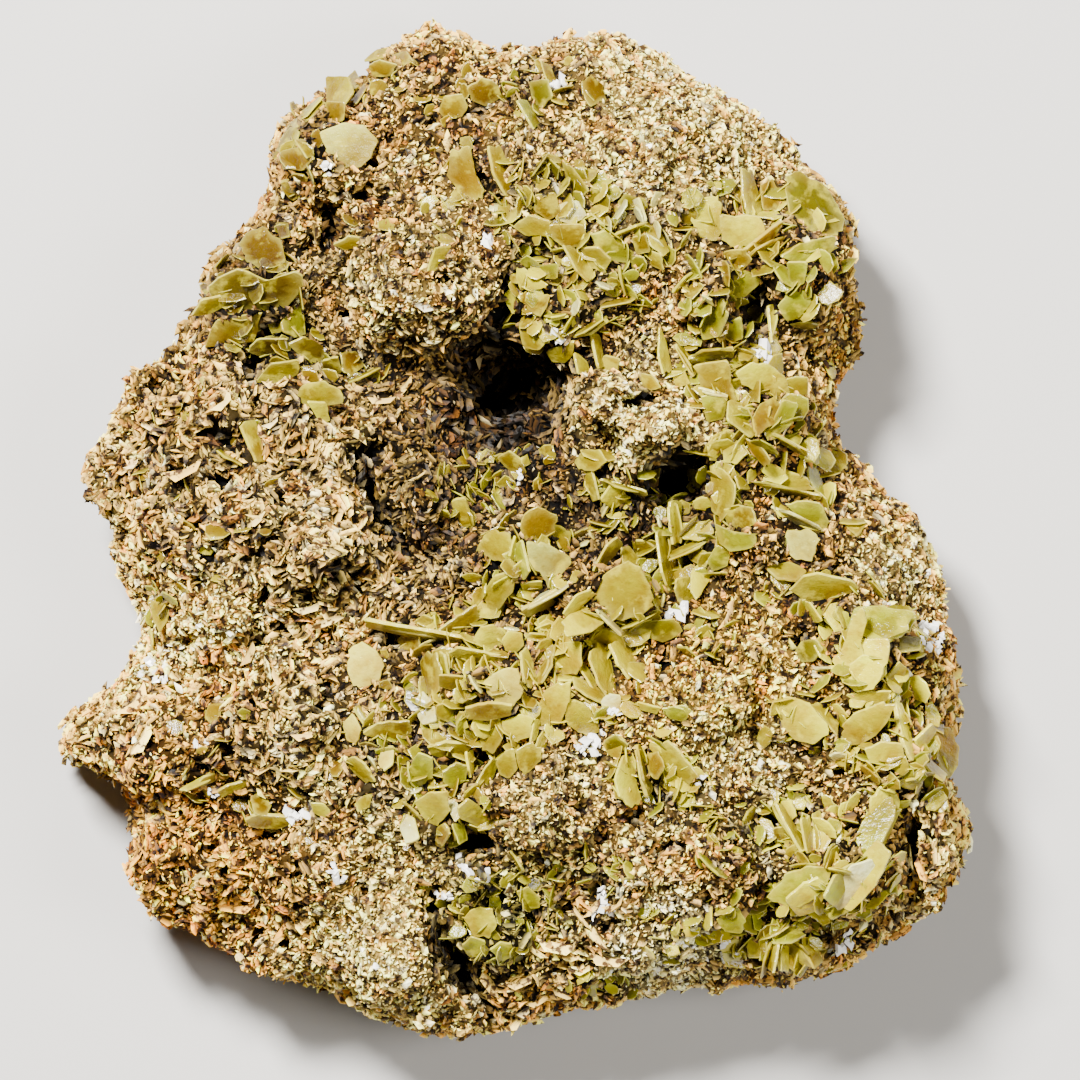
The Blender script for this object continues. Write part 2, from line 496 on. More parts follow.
# Where small wulfenite plates crowd: x, y, half width, half height, turn, count, size range in
# millimetres, finishes.
CROWDS = [
    (362, 78, 44, 22, 25, 16, 1.2, 2.6, "amber lemon lemon"),
    (430, 70, 40, 30, 0, 8, 1.2, 2.2, "amber"),
    (462, 118, 46, 34, 0, 14, 1.2, 2.6, "amber orange"),
    (545, 90, 46, 40, 0, 20, 1.2, 2.6, "lemon olive amber green"),
    (300, 150, 26, 50, 0, 26, 1.2, 2.8, "amber lemon orange pale"),
    (480, 170, 40, 40, 0, 14, 1.2, 2.6, "amber lemon"),
    (556, 214, 66, 50, 0, 84, 1.4, 3.2, "green lemon pale lemon olive"),
    (545, 300, 40, 56, 0, 60, 1.4, 3.0, "lemon green pale amber"),
    (610, 290, 46, 46, 0, 40, 1.4, 3.0, "lemon green olive"),
    (640, 235, 40, 36, 0, 26, 1.4, 2.8, "lemon green white"),
    (735, 225, 66, 50, 0, 50, 1.6, 3.4, "pale green lemon amber"),
    (800, 262, 40, 56, 0, 40, 1.6, 3.2, "green lemon pale"),
    (725, 300, 40, 40, 0, 40, 1.6, 3.2, "green lemon amber"),
    (700, 370, 36, 46, 0, 34, 1.4, 3.0, "lemon green amber"),
    (752, 400, 42, 60, 0, 70, 1.6, 3.4, "lemon lemon green amber pale"),
    (725, 480, 32, 46, 0, 36, 1.6, 3.4, "lemon green pale"),
    (800, 480, 34, 56, 0, 40, 1.6, 3.4, "green lemon pale"),
    (620, 500, 60, 30, 0, 50, 1.2, 2.6, "lemon green pale"),
    (470, 490, 44, 34, 0, 44, 1.2, 2.6, "lemon green amber"),
    (520, 466, 40, 20, 0, 20, 1.2, 2.4, "amber lemon"),
    (682, 545, 44, 46, 0, 50, 1.6, 3.4, "lemon lemon green amber"),
    (620, 600, 50, 40, 0, 24, 1.4, 2.8, "lemon green"),
    (520, 560, 56, 46, 0, 44, 1.6, 3.2, "lemon green pale amber"),
    (590, 664, 56, 60, 0, 70, 1.6, 3.4, "bright bright lemon"),
    (490, 640, 70, 50, 0, 80, 1.6, 3.2, "bright lemon amber pale"),
    (500, 710, 66, 50, 0, 90, 1.6, 3.2, "bright lemon amber pale"),
    (430, 740, 56, 56, 0, 64, 1.6, 3.2, "green olive lemon amber"),
    (445, 805, 46, 34, 0, 36, 1.4, 3.0, "lemon green amber"),
    (370, 735, 40, 30, 0, 20, 1.4, 2.8, "amber pale lemon"),
    (650, 765, 44, 40, 0, 44, 1.6, 3.2, "lemon pale green"),
    (690, 800, 40, 30, 0, 20, 1.4, 2.6, "pale green lemon"),
    (870, 640, 50, 56, 0, 56, 1.6, 3.4, "lemon pale pale green"),
    (885, 728, 56, 46, 0, 70, 1.6, 3.4, "bright pale lemon green"),
    (905, 785, 46, 36, 0, 46, 1.6, 3.2, "pale lemon amber green"),
    (810, 590, 50, 24, 0, 24, 1.4, 3.0, "lemon green amber"),
    (800, 720, 46, 40, 0, 26, 1.4, 3.0, "pale lemon green"),
    (795, 820, 40, 40, 0, 46, 1.4, 3.0, "lemon green pale"),
    (850, 860, 50, 60, -30, 56, 1.6, 3.4, "green pale pale"),
    (800, 900, 60, 30, 0, 50, 1.4, 3.0, "green pale olive"),
    (780, 952, 50, 22, 0, 40, 1.6, 3.2, "lemon green amber"),
    (725, 925, 36, 36, 0, 40, 1.2, 2.6, "green pale"),
    (860, 930, 60, 24, 30, 40, 1.2, 2.6, "green olive pale"),
    (740, 830, 40, 40, 0, 20, 1.2, 2.4, "green lemon"),
    (700, 630, 40, 26, 0, 20, 1.2, 2.4, "lemon green"),
    (255, 285, 46, 40, 0, 26, 1.6, 3.2, "amber orange amber"),
    (275, 345, 50, 26, 0, 24, 1.4, 2.8, "amber olive lemon"),
    (205, 480, 90, 90, 0, 26, 1.2, 2.4, "amber lemon orange"),
    (160, 605, 16, 30, 0, 14, 1.2, 2.4, "green lemon"),
    (235, 760, 90, 60, 0, 28, 1.2, 2.4, "amber lemon orange"),
    (270, 812, 30, 12, 0, 12, 1.4, 2.6, "amber orange"),
    (500, 915, 60, 46, 0, 90, 1.2, 2.6, "druse green olive"),
    (590, 870, 40, 26, 0, 20, 1.2, 2.2, "druse green"),
    (655, 925, 36, 34, 0, 24, 1.0, 2.0, "pale cream druse"),
    (350, 370, 50, 26, 0, 18, 1.2, 2.4, "amber lemon olive"),
    (420, 240, 50, 40, 0, 10, 1.2, 2.2, "lemon olive"),
    (600, 985, 40, 14, 0, 16, 1.2, 2.2, "green pale"),
]

# Pits in the rock by depth in millimetres: x, y, half width, half height, turn in degrees if any.
PITS = {
    1.2: [
        (516, 424, 44, 30), (488, 384, 26, 30, 30)],
    2: [
        (498, 560, 16, 8, 20), (640, 560, 14, 10), (470, 700, 12, 9), (342, 520, 8, 7),
        (273, 541, 8, 6), (116, 488, 12, 6, 30), (262, 640, 9, 7), (541, 797, 8, 6),
        (561, 778, 4, 16, 10), (578, 805, 4, 12, 50)],
    2.5: [
        (322, 141, 7, 7), (481, 116, 9, 6), (429, 124, 8, 5), (502, 206, 8, 8), (447, 281, 9, 6),
        (412, 272, 6, 5), (360, 96, 5, 9, 20), (391, 141, 7, 8), (228, 440, 14, 8),
        (347, 607, 8, 6), (392, 639, 8, 9), (188, 486, 8, 6), (177, 469, 6, 7), (246, 428, 9, 5),
        (276, 382, 9, 5), (308, 423, 6, 7), (304, 460, 6, 6), (793, 638, 13, 6), (846, 720, 8, 6),
        (779, 741, 9, 6), (811, 750, 10, 6), (839, 766, 9, 6), (773, 846, 11, 6), (747, 860, 8, 7),
        (846, 823, 8, 6), (654, 791, 11, 8), (656, 848, 8, 6), (821, 926, 13, 6), (199, 764, 9, 5),
        (331, 683, 7, 7), (255, 703, 8, 6), (242, 798, 10, 8), (181, 866, 8, 7), (221, 874, 8, 6),
        (299, 870, 8, 8), (138, 850, 6, 8), (364, 889, 6, 6), (216, 925, 10, 6), (255, 937, 7, 8),
        (281, 944, 9, 7), (294, 900, 8, 6), (357, 781, 6, 7), (299, 744, 7, 6), (142, 796, 8, 8),
        (671, 844, 14, 6), (502, 816, 11, 6), (531, 918, 7, 12), (567, 905, 11, 7),
        (559, 967, 11, 7), (478, 756, 6, 9), (588, 887, 8, 6), (608, 924, 6, 10), (320, 152, 6, 9),
        (365, 195, 9, 9), (480, 185, 9, 9), (375, 165, 8, 8), (345, 315, 10, 7),
        (209, 431, 16, 9, 20), (258, 554, 9, 8), (301, 593, 10, 6), (267, 595, 10, 7, -30),
        (359, 587, 9, 7), (282, 503, 9, 6), (222, 481, 13, 9), (211, 554, 9, 9), (225, 750, 10, 7),
        (110, 745, 10, 6), (185, 727, 8, 7), (210, 847, 10, 7), (708, 660, 7, 7), (728, 662, 7, 7),
        (745, 693, 7, 7), (596, 838, 9, 7)],
    3: [
        (533, 255, 17, 11), (509, 292, 10, 22), (500, 322, 16, 16), (912, 884, 14, 10),
        (322, 705, 11, 9), (330, 222, 10, 22), (690, 222, 12, 10), (154, 390, 11, 11),
        (284, 629, 12, 8), (666, 663, 8, 14), (768, 815, 10, 8), (800, 805, 8, 8),
        (635, 815, 8, 7), (705, 893, 8, 8), (833, 570, 8, 8), (825, 628, 8, 8)],
    3.5: [
        (374, 451, 14, 10), (338, 567, 14, 9, 10), (640, 402, 18, 7), (678, 470, 24, 24)],
    4: [
        (268, 328, 15, 11), (252, 364, 10, 18), (755, 312, 13, 19), (478, 995, 8, 38, 30),
        (912, 858, 10, 40)],
    4.5: [
        (475, 840, 20, 11)],
    5: [
        (458, 972, 13, 24, 20), (366, 482, 8, 28, 25), (378, 508, 8, 28, 25),
        (394, 536, 8, 26, 25), (436, 925, 8, 34)],
}

# Places that are darker or lighter than their finishes alone: x, y, half width, half height in
# tenths of a millimetre, and the brightness in their middle.
SHADES = [
    (500, 432, 80, 42, 0.45), (672, 474, 44, 34, 0.6), (396, 515, 22, 60, 0.7),
    (252, 296, 76, 62, 0.38), (300, 345, 60, 26, 0.7), (335, 215, 40, 30, 0.75),
    (470, 345, 50, 18, 0.7), (615, 540, 60, 34, 0.75), (760, 410, 50, 130, 1.0),
    (880, 680, 70, 110, 1.6), (205, 640, 84, 54, 1.65), (635, 410, 80, 56, 1.45),
    (655, 930, 70, 50, 1.55), (830, 880, 90, 70, 1.35), (560, 690, 90, 80, 1.2),
    (720, 710, 80, 80, 1.35), (550, 830, 70, 60, 1.25), (160, 420, 80, 90, 1.0),
    (500, 910, 60, 50, 0.8), (225, 860, 80, 60, 1.1), (790, 230, 70, 60, 1.15),
    (380, 930, 80, 70, 0.92), (650, 130, 110, 70, 0.92), (300, 470, 130, 130, 0.9),
    (430, 270, 70, 60, 0.92),
]

# The largest lens-shaped dolomite crystals by colour: x, y, length, turn in degrees.
LENSES = {
    "umber": [
        (501, 383, 18, 60), (521, 390, 26, 40), (562, 400, 36, 75), (533, 413, 18, -65),
        (512, 419, 30, 55), (495, 423, 20, 120), (483, 440, 18, 30), (516, 433, 24, 80),
        (466, 448, 15, 100), (527, 379, 16, 60), (542, 364, 18, 110), (544, 434, 22, 20),
        (473, 429, 18, 50), (504, 454, 18, -20), (487, 412, 16, 120), (470, 396, 16, 70),
        (548, 388, 20, 130), (556, 424, 18, 100), (530, 450, 18, 10), (455, 420, 16, 40),
        (311, 495, 18, -70), (563, 889, 22, 50), (210, 846, 28, 35), (478, 967, 26, 70)],
    "grey": [
        (235, 398, 28, 70), (226, 406, 26, 50), (244, 402, 24, 100), (280, 391, 26, 0),
        (274, 406, 24, -20), (289, 441, 26, 60), (302, 432, 24, 100), (304, 596, 34, -20),
        (311, 607, 30, 20), (330, 620, 34, 20), (295, 622, 30, -70), (555, 981, 22, 30),
        (563, 993, 20, -30), (382, 428, 26, 45), (397, 419, 26, 60), (258, 520, 24, 40),
        (320, 545, 24, -40), (345, 560, 22, 80), (410, 455, 22, 120), (420, 480, 20, 30)],
    "tan": [
        (190, 475, 42, 15), (295, 503, 20, -50), (336, 516, 22, 70), (351, 514, 20, 100),
        (382, 400, 28, 0), (405, 387, 30, 50), (251, 653, 26, 65), (132, 707, 44, 50),
        (309, 731, 26, 20), (327, 770, 22, 80), (309, 774, 20, 70), (285, 714, 22, -30),
        (351, 803, 20, 25), (268, 766, 22, 30), (590, 905, 24, 50), (527, 989, 32, 25),
        (535, 1007, 28, 30), (490, 981, 30, -65), (518, 981, 30, 20), (150, 430, 24, 60),
        (185, 445, 24, -50), (130, 470, 22, 30)],
    "pink": [
        (279, 681, 28, -60), (142, 740, 34, 60), (331, 796, 24, -15), (531, 950, 35, -50),
        (561, 946, 42, -10), (604, 956, 38, -15), (578, 920, 32, -55), (598, 936, 26, -60),
        (514, 1020, 26, 60), (620, 905, 26, 20)],
    "orange": [
        (186, 718, 24, 50), (164, 770, 26, 60), (177, 870, 22, -60), (140, 861, 32, 35),
        (238, 907, 40, 0), (268, 898, 22, -60), (255, 829, 22, 20), (230, 885, 26, 40),
        (200, 820, 24, 30), (170, 830, 24, -30), (285, 925, 24, 60), (915, 880, 30, 80),
        (925, 870, 26, -60), (900, 895, 26, 20), (935, 890, 24, 100)],
    "cream": [
        (268, 668, 28, 100), (205, 870, 22, 50), (300, 690, 22, 30), (905, 860, 30, -75)],
}

# Small wulfenite plates by finish: x, y, length and breadth as seen from above, in tenths of a
# millimetre, and the turn of the length in degrees.
SMALL = {
    "amber": [
        (337, 113, 20, 16, 0), (307, 151, 22, 12, -45), (288, 187, 22, 12, -45),
        (437, 151, 14, 6, 0), (305, 372, 20, 14, 0), (286, 280, 30, 14, 0), (220, 530, 35, 20, 0),
        (190, 525, 20, 5, -40), (520, 208, 24, 10, 80), (620, 303, 44, 8, 15),
        (505, 460, 26, 12, -10), (765, 250, 48, 10, 30), (855, 533, 14, 12, 0),
        (601, 524, 34, 3, -12), (580, 534, 20, 8, 30), (557, 532, 20, 12, -30),
        (565, 543, 18, 10, -70), (532, 586, 22, 7, 0), (412, 636, 26, 9, -5),
        (535, 636, 24, 8, -10), (447, 660, 26, 7, -80), (455, 660, 18, 8, 70),
        (542, 669, 28, 8, 65), (585, 694, 38, 10, -30), (905, 693, 16, 10, 0),
        (386, 653, 12, 8, -50), (374, 716, 8, 8, 0), (413, 810, 32, 6, -45),
        (453, 828, 26, 6, -80), (780, 955, 34, 9, -88), (938, 785, 16, 10, 0),
        (204, 749, 12, 12, 0), (310, 839, 12, 12, 0), (195, 885, 12, 10, 0), (332, 775, 14, 14, 0),
        (146, 570, 14, 12, 0), (183, 588, 18, 7, -45)],
    "pale": [
        (290, 130, 40, 12, 55), (310, 108, 35, 8, 45), (432, 205, 22, 18, 10),
        (440, 262, 36, 20, 60), (200, 390, 30, 10, 70), (190, 365, 24, 6, 40),
        (560, 168, 26, 5, -75), (630, 232, 34, 3, 20), (556, 317, 26, 4, 8), (768, 216, 26, 10, 0),
        (772, 325, 36, 9, 80), (833, 370, 24, 10, -75), (692, 520, 26, 3, -2),
        (640, 705, 20, 5, -20), (514, 550, 30, 8, 80), (484, 588, 24, 5, 85),
        (566, 676, 36, 9, -5), (438, 784, 22, 3, 8), (472, 789, 28, 8, 42), (410, 677, 20, 9, 40),
        (809, 800, 16, 4, -50), (707, 918, 28, 10, 85), (835, 970, 30, 14, 10),
        (455, 907, 22, 6, -25), (612, 990, 18, 12, -20), (252, 801, 22, 4, 88),
        (149, 640, 30, 5, -85)],
    "orange": [
        (293, 160, 30, 20, 0), (300, 178, 20, 6, -20), (358, 88, 25, 5, 60),
        (350, 222, 20, 10, -35), (409, 648, 20, 16, 0), (387, 684, 14, 14, 0),
        (338, 767, 20, 14, 40), (407, 846, 10, 10, 0)],
    "lemon": [
        (468, 143, 16, 14, 0), (362, 376, 42, 4, 25), (232, 458, 30, 5, -30),
        (588, 329, 36, 5, 30), (596, 350, 34, 5, -80), (622, 283, 32, 4, -78),
        (684, 362, 38, 6, -60), (682, 285, 30, 6, 45), (600, 455, 44, 16, -5),
        (590, 488, 28, 9, -65), (622, 487, 48, 5, -18), (518, 472, 18, 14, 0),
        (676, 502, 30, 12, 50), (710, 355, 46, 9, 6), (785, 444, 48, 5, -30),
        (784, 490, 74, 5, -12), (852, 522, 28, 5, 0), (817, 431, 30, 8, 55),
        (654, 598, 30, 6, -65), (677, 524, 48, 10, -85), (690, 548, 50, 7, 27),
        (705, 613, 30, 10, -10), (638, 620, 52, 5, 25), (688, 652, 28, 7, -35),
        (463, 514, 34, 14, -55), (443, 513, 22, 8, -25), (524, 557, 36, 8, -80),
        (397, 580, 10, 8, 0), (808, 575, 18, 8, 45), (905, 721, 42, 8, -68),
        (932, 771, 32, 6, -38), (913, 713, 20, 8, -35), (472, 757, 30, 4, -88),
        (643, 769, 56, 7, -76), (785, 823, 54, 6, -55), (803, 832, 38, 5, -75),
        (826, 852, 34, 9, 68), (772, 932, 38, 9, 25), (767, 957, 44, 6, 72),
        (796, 946, 34, 9, -38), (747, 816, 26, 8, 60), (930, 790, 16, 10, 70),
        (517, 860, 30, 4, -58), (219, 578, 14, 8, 0), (170, 688, 22, 8, 20), (234, 694, 26, 6, 25)],
    "olive": [
        (282, 228, 18, 12, 0), (538, 112, 22, 8, -40), (551, 170, 34, 12, -55),
        (497, 225, 26, 8, 0), (559, 368, 16, 16, 0), (708, 186, 10, 10, 0), (805, 326, 32, 6, 0),
        (838, 714, 22, 12, -60), (951, 709, 16, 14, 0), (806, 955, 26, 10, -60),
        (425, 903, 10, 8, 0), (247, 712, 14, 12, 0)],
    "green": [
        (255, 425, 20, 12, 0), (640, 306, 16, 6, 80), (692, 268, 34, 8, -60),
        (698, 262, 30, 6, 80), (622, 494, 18, 10, -60), (725, 298, 24, 8, -10),
        (847, 224, 16, 6, -80), (852, 250, 20, 8, -80), (815, 477, 46, 12, -65),
        (812, 410, 20, 8, 80), (682, 563, 26, 8, -75), (716, 622, 12, 12, 0),
        (676, 711, 30, 14, -10), (485, 508, 20, 6, -60), (495, 512, 16, 6, -50),
        (474, 692, 20, 10, 20), (602, 712, 24, 12, 30), (865, 709, 26, 6, 45),
        (952, 660, 24, 10, -80), (832, 765, 20, 8, 0), (413, 773, 30, 8, -80),
        (812, 855, 14, 10, 0), (712, 864, 44, 6, -40), (697, 858, 18, 6, -70),
        (748, 830, 16, 6, -70), (672, 962, 20, 8, 0), (427, 887, 14, 6, 0), (458, 930, 18, 18, 0),
        (519, 920, 12, 12, 0), (590, 866, 16, 12, 0), (570, 870, 14, 10, 0),
        (597, 985, 16, 10, 30), (101, 778, 18, 10, 30)],
    "white": [
        (638, 218, 22, 6, -65), (492, 209, 24, 10, 0), (605, 288, 26, 6, -20),
        (575, 308, 26, 10, 80), (655, 382, 12, 4, -60), (607, 502, 30, 7, 65),
        (706, 302, 18, 5, -35), (712, 394, 30, 4, -12), (795, 518, 56, 5, -24),
        (606, 508, 26, 6, 60), (634, 558, 22, 3, -60), (650, 563, 20, 3, 8),
        (659, 522, 12, 3, -75), (662, 600, 14, 3, 80), (605, 617, 48, 6, -45),
        (583, 544, 16, 4, 30), (592, 536, 12, 3, -60), (553, 528, 10, 5, -20),
        (549, 594, 60, 9, 30), (415, 631, 92, 5, -11), (429, 642, 20, 3, 25),
        (512, 628, 16, 4, -10), (477, 683, 26, 5, -57), (448, 695, 20, 12, 10),
        (821, 668, 22, 3, 5), (831, 571, 10, 4, 70), (836, 755, 22, 10, 5), (378, 662, 10, 5, -30),
        (363, 713, 22, 4, -58), (374, 762, 22, 4, -58), (417, 789, 16, 4, 25),
        (878, 950, 24, 8, 35), (232, 712, 12, 14, 0)],
}

# White calcite grains: x, y, size in tenths of a millimetre.
CALCITE = [
    (488, 243, 14), (557, 86, 16), (330, 168, 12), (563, 338, 11), (762, 350, 24), (756, 358, 14),
    (521, 475, 9), (593, 741, 18), (580, 745, 10), (424, 706, 16), (430, 716, 12), (919, 634, 16),
    (930, 626, 14), (938, 638, 13), (926, 646, 12), (914, 640, 9), (936, 652, 9), (877, 612, 9),
    (213, 790, 8), (296, 809, 15), (306, 815, 12), (336, 870, 17), (152, 668, 15), (160, 678, 12),
    (145, 676, 10), (203, 744, 8), (838, 942, 15), (846, 936, 10), (734, 950, 18), (724, 944, 12),
    (699, 779, 9), (465, 868, 16), (480, 872, 13), (447, 890, 11), (888, 806, 10), (676, 610, 18),
    (668, 616, 11), (612, 705, 12), (866, 872, 11), (610, 905, 14), (604, 895, 11), (597, 912, 10),
]


def plate_rows(rows):
    """The finish, tilt, bearing and array of corners of each plate of a cluster."""
    for row in rows:
        key, tilt, toward, *corners = row.split()
        corners = np.array([corner.split(",") for corner in corners], float)
        yield key, float(tilt), float(toward), corners


def colour(red, green, blue):
    """A colour from its 8-bit display values, in scene-linear numbers."""
    out = []
    for part in (red, green, blue):
        part /= 255.0
        out.append(part / 12.92 if part <= 0.04045 else ((part + 0.055) / 1.055) ** 2.4)
    return tuple(out)


def swatch(name, red, green, blue):
    """A colour property with its default in 8-bit display values."""
    return FloatVectorProperty(
        name=name, description="Colour of the " + name.lower(), subtype="COLOR", size=3,
        min=0.0, max=1.0, default=colour(red, green, blue),
    )


def length(name, text, default_mm):
    """A length property with its default in millimetres."""
    return FloatProperty(name=name, description=text, default=default_mm * MM, min=0.0,
                         unit="LENGTH")


class RockSettings(bpy.types.PropertyGroup):
    """How finely the rock is made and how closely its crystals grow"""
    skin_voxel: length("Skin voxel", "Size of the voxels that the rock's skin is made of", 0.6)
    blade_spacing: length("Blade spacing", "Distance between the stacks of dolomite blades", 0.80)
    grain_spacing: length("Grain spacing", "Distance between the dolomite grains", 0.30)
    flank_spacing: length("Flank spacing", "Distance between crystals on the rock's sides", 1.7)
    seed: IntProperty(name="Seed", description="Seed of the crystals' places", default=11)


class DolomiteColours(bpy.types.PropertyGroup):
    """The colours of the rock's zones and of the calcite on it"""
    cream: swatch("Cream dolomite", 255, 232, 136)
    tan: swatch("Tan dolomite", 230, 192, 94)
    grey: swatch("Grey-tan dolomite", 222, 194, 108)
    sand: swatch("Sandy dolomite", 255, 214, 92)
    orange: swatch("Orange dolomite", 244, 180, 60)
    pink: swatch("Pinkish dolomite", 255, 218, 116)
    umber: swatch("Brown dolomite", 124, 100, 48)
    dark: swatch("Dark dolomite", 98, 76, 34)
    druse: swatch("Green-grey druse", 204, 206, 104)
    pale_green: swatch("Pale green crust", 254, 252, 184)
    calcite: swatch("White calcite", 246, 244, 236)


class WulfeniteColours(bpy.types.PropertyGroup):
    """The colours of the wulfenite plates"""
    amber: swatch("Amber wulfenite", 130, 107, 0)
    orange: swatch("Orange wulfenite", 108, 82, 0)
    lemon: swatch("Lemon wulfenite", 148, 133, 0)
    bright: swatch("Bright lemon wulfenite", 178, 163, 0)
    green: swatch("Yellow-green wulfenite", 134, 134, 0)
    olive: swatch("Olive wulfenite", 100, 93, 0)
    pale: swatch("Pale wulfenite", 192, 181, 20)
    cream: swatch("Cream wulfenite", 214, 197, 80)
    white: swatch("White-edged wulfenite", 226, 222, 144)
    grey: swatch("Greyish wulfenite", 174, 166, 74)
    druse: swatch("Druse wulfenite", 136, 134, 20)
    rim: swatch("Wulfenite rim", 252, 243, 110)
    glow: swatch("Light through wulfenite", 169, 156, 48)


class StageSettings(bpy.types.PropertyGroup):
    """The camera, the lights and the floor"""
    camera_height: FloatProperty(
        name="Camera height", description="Height of the camera over the middle of the specimen",
        default=1.3, min=0.1, unit="LENGTH",
    )
    key_power: FloatProperty(name="Key light", description="Power of the key light", default=24.0,
                             min=0.0, unit="POWER")
    fill_power: FloatProperty(name="Fill light", description="Power of the fill light", default=4.2,
                              min=0.0, unit="POWER")
    world_light: FloatProperty(name="World light", description="Strength of the light all round",
                               default=0.035, min=0.0)
    floor_colour: swatch("Floor", 190, 188, 184)


def sheet(x, y, z=0.0):
    """The point in the frame of a sheet point at a height."""
    return Vector(((x - SHEET_CENTRE[0]) * TENTH, (SHEET_CENTRE[1] - y) * TENTH, z))


def to_sheet(points):
    """Sheet x and y of an array of points."""
    return points[:, 0] / TENTH + SHEET_CENTRE[0], SHEET_CENTRE[1] - points[:, 1] / TENTH


def unit(vectors):
    """Vectors made one long."""
    return vectors / np.maximum(np.linalg.norm(vectors, axis=-1, keepdims=True), 1e-12)


def spread(x, y, cx, cy, wide, high, turn=0.0):
    """Squared distance of sheet points from an ellipse's middle: 1 on the ellipse itself."""
    spin = np.radians(turn)
    u = (x - cx) * np.cos(spin) - (y - cy) * np.sin(spin)
    v = (x - cx) * np.sin(spin) + (y - cy) * np.cos(spin)
    return (u / wide) ** 2 + (v / high) ** 2


def add_object(name, data):
    """A new object of that data in the scene."""
    made = bpy.data.objects.new(name, data)
    bpy.context.scene.collection.objects.link(made)
    return made


# Shader building.


class Wire:
    """A node socket that takes part in Python arithmetic."""

    def __init__(self, shader, socket):
        self.shader = shader
        self.socket = socket

    def maths(self, operation, *values):
        """A Math node of values or wires."""
        return self.shader.node("ShaderNodeMath", {"operation": operation}, list(values))

    def __add__(self, other):
        return self.maths("ADD", self, other)

    def __radd__(self, other):
        return self.maths("ADD", other, self)

    def __sub__(self, other):
        return self.maths("SUBTRACT", self, other)

    def __rsub__(self, other):
        return self.maths("SUBTRACT", other, self)

    def __mul__(self, other):
        return self.maths("MULTIPLY", self, other)

    def __rmul__(self, other):
        return self.maths("MULTIPLY", other, self)


class Finish:
    """A material and the nodes that make it."""

    def __init__(self, name):
        self.material = bpy.data.materials.new(name)
        self.material.use_nodes = True
        self.tree = self.material.node_tree
        self.tree.nodes.clear()

    def node(self, kind, settings=None, values=(), output=0):
        """Adds a node, sets its settings, then its sockets by index or name; returns one output."""
        made = self.tree.nodes.new(kind)
        for key, value in (settings or {}).items():
            setattr(made, key, value)
        pairs = values.items() if isinstance(values, dict) else enumerate(values)
        for key, value in pairs:
            if isinstance(value, Wire):
                self.tree.links.new(value.socket, made.inputs[key])
            else:
                made.inputs[key].default_value = value
        return Wire(self, made.outputs[output])

    def mix(self, factor, first, second, blend="MIX"):
        """Mixes two colours: sockets 6 and 7 take them, and output 2 gives the mixed one."""
        settings = {"data_type": "RGBA", "blend_type": blend, "clamp_factor": True}
        return self.node("ShaderNodeMix", settings, {0: factor, 6: first, 7: second}, 2)

    def noise(self, scale, detail, roughness=0.55):
        """A noise in object space, of a number of features a metre."""
        where = self.node("ShaderNodeTexCoord", output=3)
        return self.node("ShaderNodeTexNoise", {}, {
            "Vector": where, "Scale": scale, "Detail": detail, "Roughness": roughness})

    def patches(self, scale, low, high):
        """A noise stretched so that values from low to high fill 0 to 1."""
        return self.node("ShaderNodeMapRange", {"clamp": True}, {
            "Value": self.noise(scale, 4.0), "From Min": low, "From Max": high})

    def bump(self, height, distance):
        """A relief of that height over the surface."""
        return self.node("ShaderNodeBump", {}, {
            "Strength": 0.6, "Distance": distance, "Height": height})

    def surface(self, shader):
        """Shows the shader and returns the material."""
        output = self.tree.nodes.new("ShaderNodeOutputMaterial")
        self.tree.links.new(shader.socket, output.inputs["Surface"])
        return self.material


def dolomite_finish(name, gloss):
    """Sugary carbonate: the crystals' own colour, mottled, with a fine rough grain."""
    finish = Finish(name)
    tint = finish.node("ShaderNodeVertexColor", {"layer_name": "tint"})
    mottle = finish.patches(1250.0, 0.415, 0.50)
    gaps = finish.mix(mottle, (0.08, 0.05, 0.02, 1), (1.25, 1.25, 1.25, 1))
    shade = finish.mix(1.0, tint, gaps, "MULTIPLY")
    rust = finish.patches(170.0, 0.45, 0.7) * 0.45
    shade = finish.mix(rust, shade, (0.88, 0.62, 0.30, 1), "MULTIPLY")
    bump = finish.bump(finish.noise(2600.0, 2.0), 0.15 * MM)
    body = finish.node("ShaderNodeBsdfPrincipled", {}, {
        "Base Color": shade, "Roughness": 0.75 - 0.6 * gloss, "IOR": 1.6,
        "Specular IOR Level": gloss, "Normal": bump})
    return finish.surface(body)


def wulfenite_finish():
    """Thin, glossy, slightly see-through crystal that glows where light comes through it."""
    finish = Finish("wulfenite_crystal")
    tint = finish.node("ShaderNodeVertexColor", {"layer_name": "tint"})
    clouds = finish.patches(330.0, 0.44, 0.64) * 0.75
    shade = finish.mix(clouds, tint, (0.78, 0.60, 0.2, 1), "MULTIPLY")
    flecks = finish.patches(1500.0, 0.52, 0.68) * 0.5
    shade = finish.mix(flecks, shade, (0.66, 0.56, 0.34, 1), "MULTIPLY")
    sunny = finish.patches(560.0, 0.53, 0.66) * 0.4
    shade = finish.mix(sunny, shade, (0.88, 0.76, 0.05, 1))
    bump = finish.bump(finish.noise(650.0, 5.0, 0.65), 0.4 * MM)
    body = finish.node("ShaderNodeBsdfPrincipled", {}, {
        "Base Color": shade, "Roughness": 0.2, "IOR": 1.9, "Specular IOR Level": 0.35,
        "Normal": bump})
    through = (*bpy.context.scene.wulfenite_colours.glow, 1)
    glow = finish.node("ShaderNodeBsdfTranslucent", {}, {"Color": through, "Normal": bump})
    return finish.surface(finish.node("ShaderNodeMixShader", {}, [0.3, body, glow]))


def calcite_finish():
    """White calcite, a little glossy."""
    finish = Finish("calcite")
    white = (*bpy.context.scene.dolomite_colours.calcite, 1)
    body = finish.node("ShaderNodeBsdfPrincipled", {}, {
        "Base Color": white, "Roughness": 0.3, "IOR": 1.6})
    return finish.surface(body)


